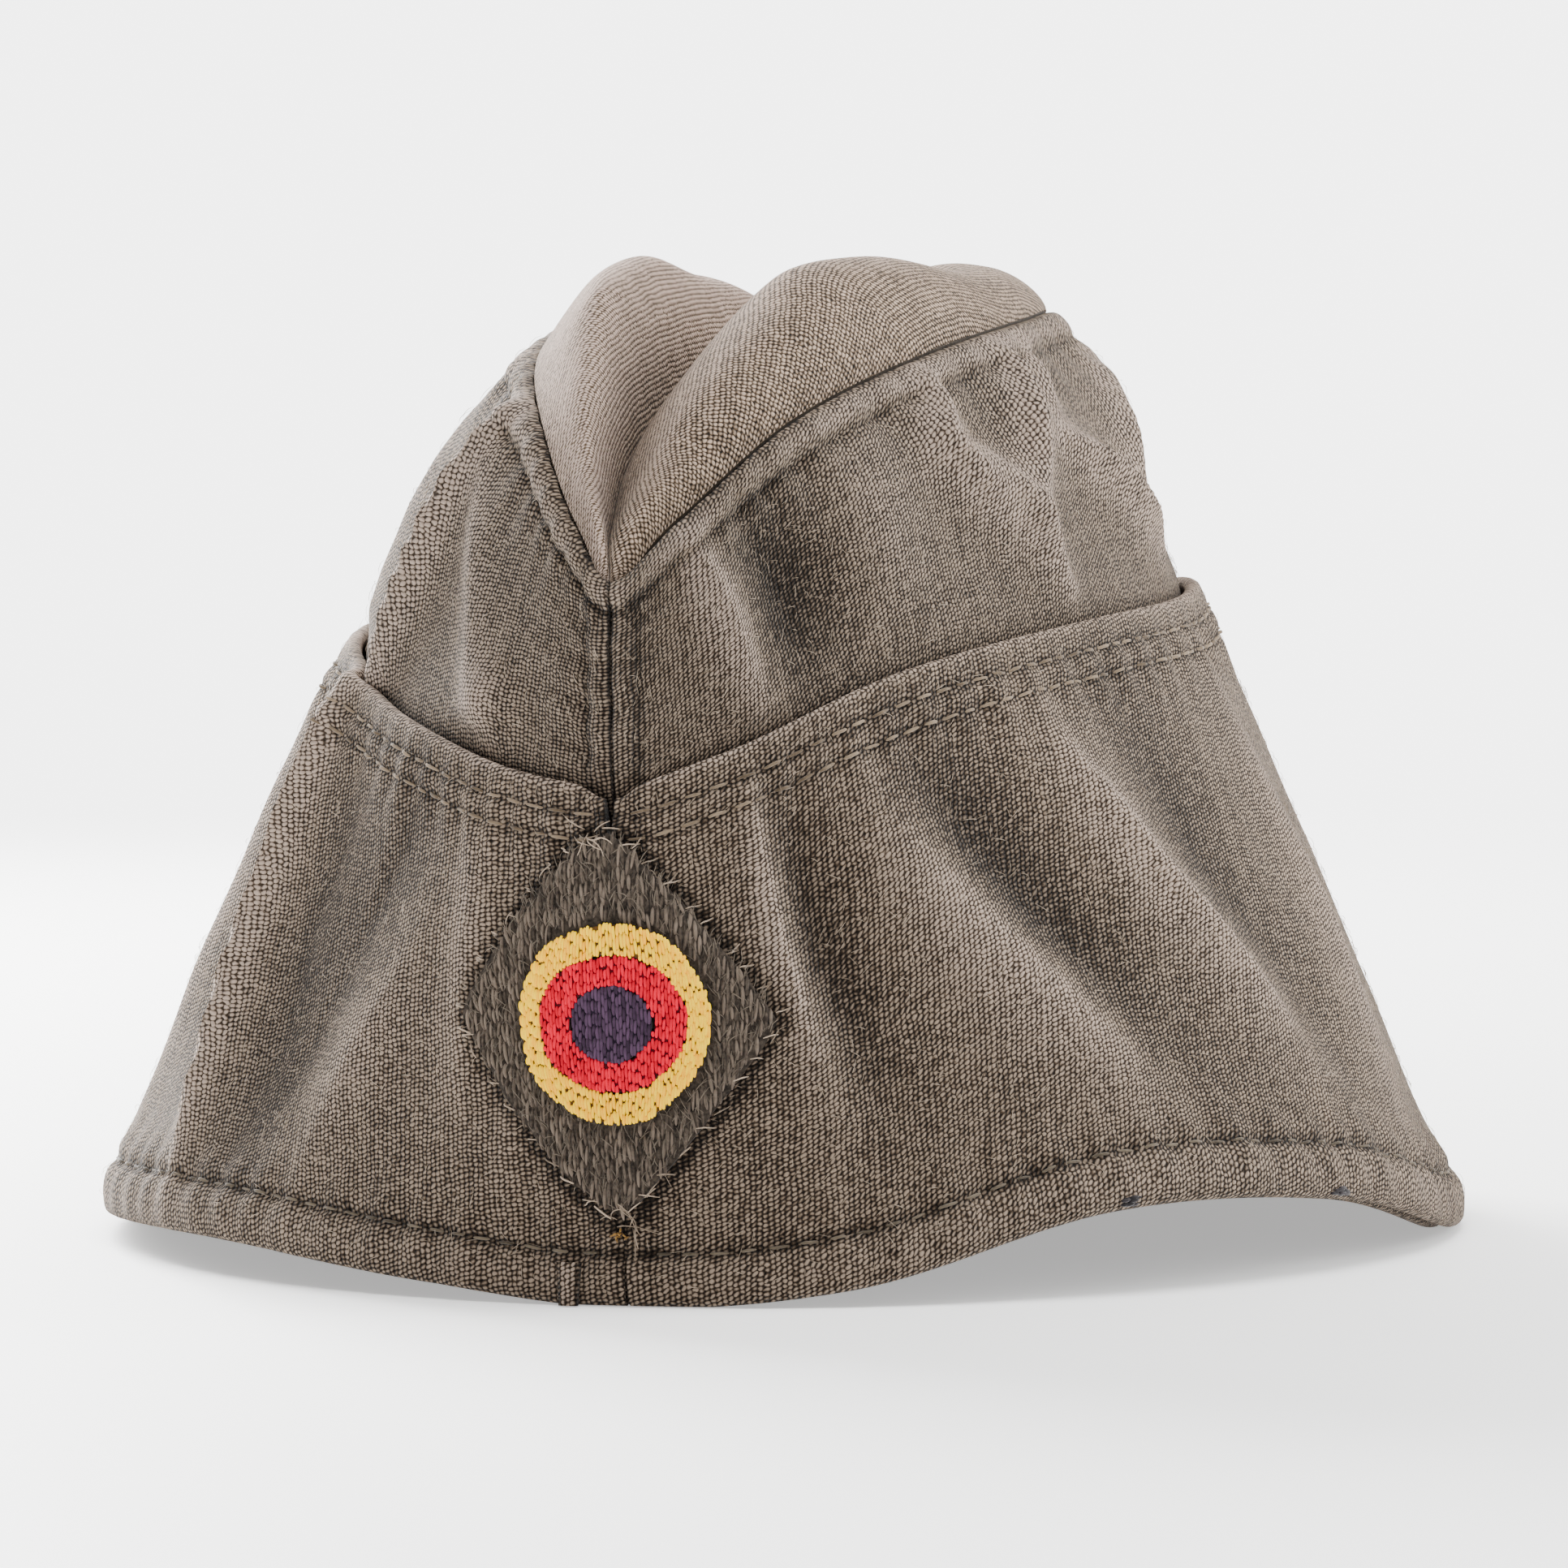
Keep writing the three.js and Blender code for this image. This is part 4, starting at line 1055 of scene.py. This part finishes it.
def loose_ends(name, slot, across, high, count, size, radius, spread):
    """Frayed thread ends that start near one place."""
    t = np.linspace(0, 1, 9)
    paths = []
    for _ in range(count):
        angle = random.uniform(0, 2 * math.pi)
        long = size * random.uniform(0.5, 1.1)
        bend = random.normal(0, 0.5)
        x = across + spread * random.normal() + long * t * np.cos(angle + bend * t)
        y = high + spread * random.normal() + long * t * np.sin(angle + bend * t)
        paths.append((x, y, over_edge(x, y, 0.96, 0.15 * MM, 0.5 * MM)))
    return patch_threads(name, paths, np.full(count, radius), slot, 5, 0.5)


def uneven(across, high):
    """A hand-guided circle: the share by which the rings bulge on each side."""
    turn = np.arctan2(high, across)
    slow, quick = 0.014 * np.sin(2 * turn + 0.7), 0.010 * np.sin(5 * turn + 2)
    return 1 + slow + quick + 0.006 * np.sin(9 * turn)


def ring_place(across, high):
    """A place in true circles, moved to the rings' uneven and slightly oval outlines."""
    radius = np.hypot(across, high)
    bulge = uneven(across, high)
    wide = np.interp(radius, RING_RADII, RING_WIDE)
    tall = np.interp(radius, RING_RADII, RING_TALL)
    return across * wide * bulge, high * tall * bulge


def ring(name, slot, inner, outer):
    """The ground of one ring of the cockade, a little lower than its stitches, in a darker copy of
    its thread's colour: painted shade between the stitches.
    """
    radii, turns = np.linspace(max(inner, 0.05 * MM), outer, 12), np.linspace(0, 2 * np.pi, 97)
    radius, turn = np.meshgrid(radii, turns)
    across, high = ring_place(radius * np.cos(turn), radius * np.sin(turn))
    face, _ = on_patch(across, high, PATCH_CLOTH + GAP + 0.5 * THREAD + 0 * turn)
    back, _ = on_patch(across, high, PATCH_CLOTH + GAP + 0 * turn)
    points, faces = closed_grid(face, back)
    tint = np.full(len(points), 0.5)
    piece = mesh_object(f"{name}_ground", points, faces, slot, None, tint)
    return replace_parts(piece, name)


def ring_stitches(name, slot, inner, outer):
    """Upright stitches in columns that fill one ring; some leave a needle hole open above them."""
    t = np.linspace(0, 1, 8)
    paths = []
    columns = int(outer / RING_PITCH)
    for number in range(-columns, columns + 1):
        column = number * RING_PITCH
        far = math.sqrt(max(0, outer ** 2 - column ** 2))
        near = math.sqrt(max(0, inner ** 2 - column ** 2))
        parts = [(-far, -near), (near, far)] if abs(column) < inner else [(-far, far)]
        first_end = RING_LONG * random.random()
        lean = (0.07 if number % 2 else -0.07) * MM
        for low, high in parts:
            first = math.floor((low - first_end) / RING_LONG) * RING_LONG + first_end
            while first < high:
                shift = random.normal(0, 0.06 * MM)
                hole = (0.34 if random.random() < 0.3 else 0.02) * MM
                start = max(first + shift, low - random.uniform(0, 0.12) * MM)
                last = first + RING_LONG - hole + shift
                end = min(last, high + random.uniform(0, 0.12) * MM)
                first += RING_LONG
                if end - start < SHORTEST_STITCH:
                    continue
                across = column + random.normal(0, 0.02 * MM)
                across = across + (lean + random.normal(0, 0.05 * MM)) * (t - 0.5)
                arch = 0.22 * MM * arched(t) ** 0.4
                lift = PATCH_CLOTH + GAP + 0.45 * THREAD + arch
                paths.append((*ring_place(across, start + (end - start) * t), lift))
    radius = random.uniform(0.20, 0.225, len(paths)) * MM
    return patch_threads(name, paths, radius, slot, 6, 0.7, 0.8)


def stitch_line(name, slot, rows, face, size, gap, radius):
    """Stitches sunk in a groove along one or more lines; rows are (side, level) pairs."""
    t = np.linspace(0, 1, 7)
    paths, facings = [], []
    fine = np.linspace(0.012, 0.988, 900)
    for side, level in rows:
        points = off_wall(side, fine, level(side, fine), face(side, fine, level(side, fine)))
        length = walked(points[None])[0]
        start = random.uniform(0, gap)
        while start + size < length[-1]:
            long = size * random.uniform(0.85, 1.12)
            run = np.interp(start + long * t, length, fine)
            up = level(side, run) + random.normal(0, 0.0012) * (t - 0.5)
            rise = face(side, run, up) + radius * (1.9 * arched(t) - 0.75)
            paths.append(off_wall(side, run, up, rise))
            facings.append(wall_facing(side, run, up))
            start += long + gap * random.uniform(0.8, 1.3)
    sizes = radius * random.uniform(0.85, 1.1, len(paths))
    return threads(name, paths, facings, sizes, slot, 6, 0.4, 0.8)


def seam_filler(name, slot, side_run, low, high, face, sink, thick):
    """A thin strip of seam allowance that fills the gap between the two halves at an end seam."""
    z = np.linspace(low, high, 60)
    run = np.full_like(z, side_run)
    up = (z - round_at(1, run)["rim"]) / local_height(1, run)
    base = wall(1, run, up) + PLACE
    way = -1 if side_run < 0.5 else 1
    outer = way * (face(1, run, up) - sink)
    inner = outer - way * thick
    half = GAP * 0.46
    middle = base[:, 0] - GAP / 2
    corners = [(-half, outer), (half, outer), (half, inner), (-half, inner)]
    loops = np.stack([np.stack([middle + x, base[:, 1] + y, z], -1) for x, y in corners], 1)
    index = np.arange(loops.shape[0] * 4).reshape(-1, 4)
    faces = tube_faces(index) + [index[0, ::-1].tolist(), index[-1].tolist()]
    uv = np.stack([loops[..., 0], loops[..., 2]], -1)
    # A low value, so a dark tone: painted shade in the seam's gap
    tint = np.full(loops.shape[:2], 0.15)
    return mesh_object(name, loops, faces, slot, uv, tint)


def top_seam_cord(name, side):
    """The seam allowance under the top seam, in a dark tone: painted shade at the bottom of the
    crevice.
    """
    run = np.linspace(0.03, 0.97, 260)
    edge, out = top_edge(side, run)
    paths = (wall(side, run, 1) * 0.5 + edge * 0.5 - out * 0.85 * MM + PLACE)[None]
    return threads(name, paths, out[None], 0.30 * MM, "seam_allowance_shade", 8, 1.0)


def rim_spots(name):
    """Two small dark tufts of thread on the lower edge of the rim."""
    t = np.linspace(0, 1, 6)
    paths, facings = [], []
    for middle, size in TUFTS:
        for _ in range(16):
            run = middle + size * (random.uniform(-0.5, 0.5) + 0.5 * (t - 0.5))
            up = (0.5 + 0.9 * random.random()) * MM / local_height(1, run)
            rise = curtain_face(1, run, up) + random.uniform(-0.35, 0.12) * MM
            paths.append(off_wall(1, run, up, rise))
            facings.append(wall_facing(1, run, up))
    return threads(name, paths, facings, np.full(len(paths), 0.24 * MM), "dark_thread", 5, 0.5)


def loose_fibres(name, slot, side, face, reach, count):
    """Fine loose hairs of the wool that stand off the cloth."""
    t = np.linspace(0, 1, 4)
    run = random.uniform(0.01, 0.99, count)[:, None]
    low, high = reach(side, run)
    up = low + (high - low) * random.random(count)[:, None]
    angle = random.uniform(0, 2 * np.pi, count)[:, None]
    size = random.uniform(0.8, 2.2, count)[:, None] * MM
    run = np.clip(run + size * t * np.cos(angle) / (1.4 * LENGTH), 0.003, 0.997)
    up = np.clip(up + size * t * np.sin(angle) / HEIGHT, 0.004, 0.996)
    stand = random.uniform(0.1, 0.55, count)[:, None] * MM * arched(0.1 + 0.75 * t)
    points = off_wall(side, run, up, face(side, run, up) + stand)
    radius = random.uniform(0.022, 0.038, count) * MM
    return threads(name, points, wall_facing(side, run, up), radius, slot, 3, 0.5)


def rim_tab(name):
    """The small folded end of cloth at the rim, beside the front seam."""
    middle, half, tall = -7.0, 1.5, 4.6  # in mm
    a, b = np.meshgrid(np.linspace(-1, 1, 9), np.linspace(0, 1, 14), indexing="ij")
    across = middle * MM + a * half * MM * (1 - 0.25 * b)
    high = tall * MM - b * tall * MM
    lift = -PATCH_GAP + BAND_RISE + (0.35 + 0.75 * b) * MM + 0.35 * MM * np.cos(a * np.pi / 2)
    outer, _ = front_point(across, high, lift)
    inner, _ = front_point(across, high, lift - 0.75 * MM)
    points, faces = closed_grid(outer[::-1], inner[::-1])
    uv = np.tile(np.stack([across[::-1], high[::-1]], -1).reshape(-1, 2), (2, 1))
    # Lighter in the middle and dark at both sides: painted shade along the tab's outline
    tint = np.tile(0.85 * (1 - smooth(0.5, 1, np.abs(a[::-1]))).ravel(), 2)
    points[:, 2] = np.maximum(points[:, 2], 0)
    return mesh_object(name, points, faces, "curtain_cloth", uv, tint)


def hem_level(distance):
    def level(side, run):
        return curtain_edge(side, run) - distance / local_height(side, run)
    return level


def rim_level(side, run):
    return RIM_BAND / local_height(side, run)


def curtain_outer(side, run, up):
    return curtain_height(side, run, up) + CURTAIN_CLOTH


def curtain_reach(side, run):
    return 0.02, curtain_edge(side, run) - 0.01


def crown_reach(side, run):
    return curtain_edge(side, run) + 0.01, 0.98


# Frayed ends in mm: name, material, across, high, count, size, radius, spread
LOOSE_ENDS = (
    ("badge_top_ends", "sewing_thread", -2.6, 21.4, 9, 3.2, 0.07, 0.9),
    ("badge_bottom_ends", "sewing_thread", 0.4, -22.6, 12, 3.2, 0.065, 1.0),
    ("badge_ochre_end", "ochre_thread", -0.6, -24.0, 10, 0.9, 0.12, 0.45),
)
# Rings of the cockade: colour, inner and outer radius
RINGS = (
    ("gold", RED_RADIUS + GAP / 2, COCKADE / 2),
    ("red", BLACK_RADIUS + GAP / 2, RED_RADIUS - GAP / 2),
    ("black", 0, BLACK_RADIUS - GAP / 2),
)
# Seam fillers: name, material, run, low, high, face, how far sunk below it, thickness
FILLERS = (
    ("front_seam_filler", "curtain_cloth", 0, 0.4 * MM, 0.455 * HEIGHT,
     curtain_outer, 0.2 * MM, 1.6 * MM),
    ("back_seam_filler", "curtain_cloth", 1, 0.4 * MM, 0.52 * HEIGHT,
     curtain_outer, 0.35 * MM, 1.6 * MM),
    ("front_crown_filler", "panel_cloth", 0, 0.48 * HEIGHT, 0.715 * HEIGHT,
     panel_height, 0.6 * MM, 1 * MM),
    ("back_crown_filler", "panel_cloth", 1, 0.54 * HEIGHT, 0.79 * HEIGHT,
     panel_height, 0.6 * MM, 1 * MM),
)

side_panel("side_panel_left", 1)
side_panel("side_panel_right", -1)
top_panel("top_panel")
curtain("curtain_left", 1)
curtain("curtain_right", -1)
patch("badge_patch")
patch_strokes("badge_patch_strokes")
patch_fuzz("badge_patch_fuzz")
whip_stitches("badge_whip_stitches")
for name, slot, across, high, count, size, radius, spread in LOOSE_ENDS:
    loose_ends(name, slot, across * MM, high * MM, count, size * MM, radius * MM, spread * MM)
for color, inner, outer in RINGS:
    ring(f"cockade_{color}", f"{color}_ground", inner, outer)
    ring_stitches(f"cockade_{color}_stitches", f"{color}_thread",
                  max(0, inner - RING_REACH), outer + RING_REACH)
hem_rows = [(side, hem_level(line)) for side in (1, -1) for line in HEM_LINES]
stitch_line("hem_stitches", "hem_thread", hem_rows, curtain_face,
            size=2.7 * MM, gap=0.7 * MM, radius=0.21 * MM)
rim_rows = [(side, rim_level) for side in (1, -1)]
stitch_line("rim_stitches", "dark_hem_thread", rim_rows, curtain_face,
            size=2.6 * MM, gap=0.9 * MM, radius=0.19 * MM)
for filler in FILLERS:
    seam_filler(*filler)
top_seam_cord("top_seam_left", 1)
top_seam_cord("top_seam_right", -1)
rim_tab("rim_tab")
rim_spots("rim_spots")
for side, word in ((1, "left"), (-1, "right")):
    for part, face, reach, count in (
        ("curtain", curtain_face, curtain_reach, CURTAIN_FIBRES),
        ("crown", panel_height, crown_reach, CROWN_FIBRES),
    ):
        loose_fibres(f"{part}_fibres_{word}", "fibre", side, face, reach, count)

# Camera and studio
AZIMUTH, ELEVATION = math.radians(12), math.radians(2.8)
DISTANCE = 1.1
TARGET_HEIGHT = 0.0553
SENSOR = 36
PHOTO_WIDTH, FOCAL_LENGTH = 1932, 10780  # both in the photo's pixels
BACKDROP = 5.0
FLOOR_REACH = 30
FLOOR_FADE = (0.16, 1.0)
# Area lights: name, place, size, power
LIGHTS = (
    ("left_box", (-0.66, 0.80, 0.40), (0.5, 0.8), 82),
    ("right_box", (0.9, 0.3, 0.35), (0.5, 0.9), 12),
    ("top_box", (0.1, -0.1, 1.0), (0.8, 0.6), 16),
)


def place_object(name, data):
    item = bpy.data.objects.new(name, data)
    bpy.context.scene.collection.objects.link(item)
    return item


toward = Vector((
    math.sin(AZIMUTH) * math.cos(ELEVATION),
    -math.cos(AZIMUTH) * math.cos(ELEVATION),
    math.sin(ELEVATION),
))
target = Vector((PLACE[0], PLACE[1], TARGET_HEIGHT))
camera_data = bpy.data.cameras.new("camera")
camera_data.sensor_width = SENSOR
camera_data.lens = SENSOR * FOCAL_LENGTH / PHOTO_WIDTH
camera = place_object("camera", camera_data)
camera.location = target + toward * DISTANCE
camera.rotation_euler = toward.to_track_quat("Z", "Y").to_euler()
bpy.context.scene.camera = camera

world = bpy.data.worlds.new("studio")
world.use_nodes = True
sky = world.node_tree
direction = sky.nodes.new("ShaderNodeSeparateXYZ")
sky.links.new(sky.nodes.new("ShaderNodeTexCoord").outputs["Generated"], direction.inputs[0])
background = sky.nodes["Background"]
background.inputs["Color"].default_value = (1, 1, 1, 1)
behind = span(sky, direction.outputs[1], 0.0, 0.95, 0.24, 1.6)
near_horizon = span(sky, direction.outputs[2], 0.05, 0.14, 1.0, 0.0)
horizon = span(sky, direction.outputs[1], -0.5, 0.6, 1.2, BACKDROP - 1.6)
horizon = calc(sky, "MULTIPLY", horizon, near_horizon)
sky.links.new(calc(sky, "ADD", behind, horizon), background.inputs["Strength"])
bpy.context.scene.world = world

for name, spot, size, power in LIGHTS:
    lamp = bpy.data.lights.new(name, "AREA")
    lamp.shape = "RECTANGLE"
    lamp.size, lamp.size_y = size
    lamp.energy = power
    light = place_object(name, lamp)
    light.location = spot
    light.rotation_euler = (Vector(spot) - target).to_track_quat("Z", "Y").to_euler()

corners = [(x * FLOOR_REACH, y * FLOOR_REACH, 0) for x, y in ((-1, -1), (1, -1), (1, 1), (-1, 1))]
floor_mesh = bpy.data.meshes.new("floor")
floor_mesh.from_pydata(corners, [], [(0, 1, 2, 3)])
floor = place_object("floor", floor_mesh)
tree, shader, place = surface("floor_paper", 0.0, 0.4, 0.55)
away = tree.nodes.new("ShaderNodeVectorMath")
away.operation = "LENGTH"
tree.links.new(place, away.inputs[0])
far = span(tree, away.outputs["Value"], *FLOOR_FADE)
paper = blend(tree, noise(tree, place, 9, 3), linear((246, 246, 245)), linear((252, 252, 251)))
tree.links.new(blend(tree, far, paper, (0, 0, 0, 1)), shader.inputs["Base Color"])
feed(tree, calc(tree, "MULTIPLY_ADD", far, -0.4, 0.4), shader.inputs["Specular IOR Level"])
shader.inputs["Emission Color"].default_value = (1, 1, 1, 1)
glow = calc(tree, "MULTIPLY_ADD", far, BACKDROP - 0.5, 0.5)
feed(tree, glow, shader.inputs["Emission Strength"])
floor_mesh.materials.append(MATERIALS["floor_paper"])
floor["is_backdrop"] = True

low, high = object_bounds()
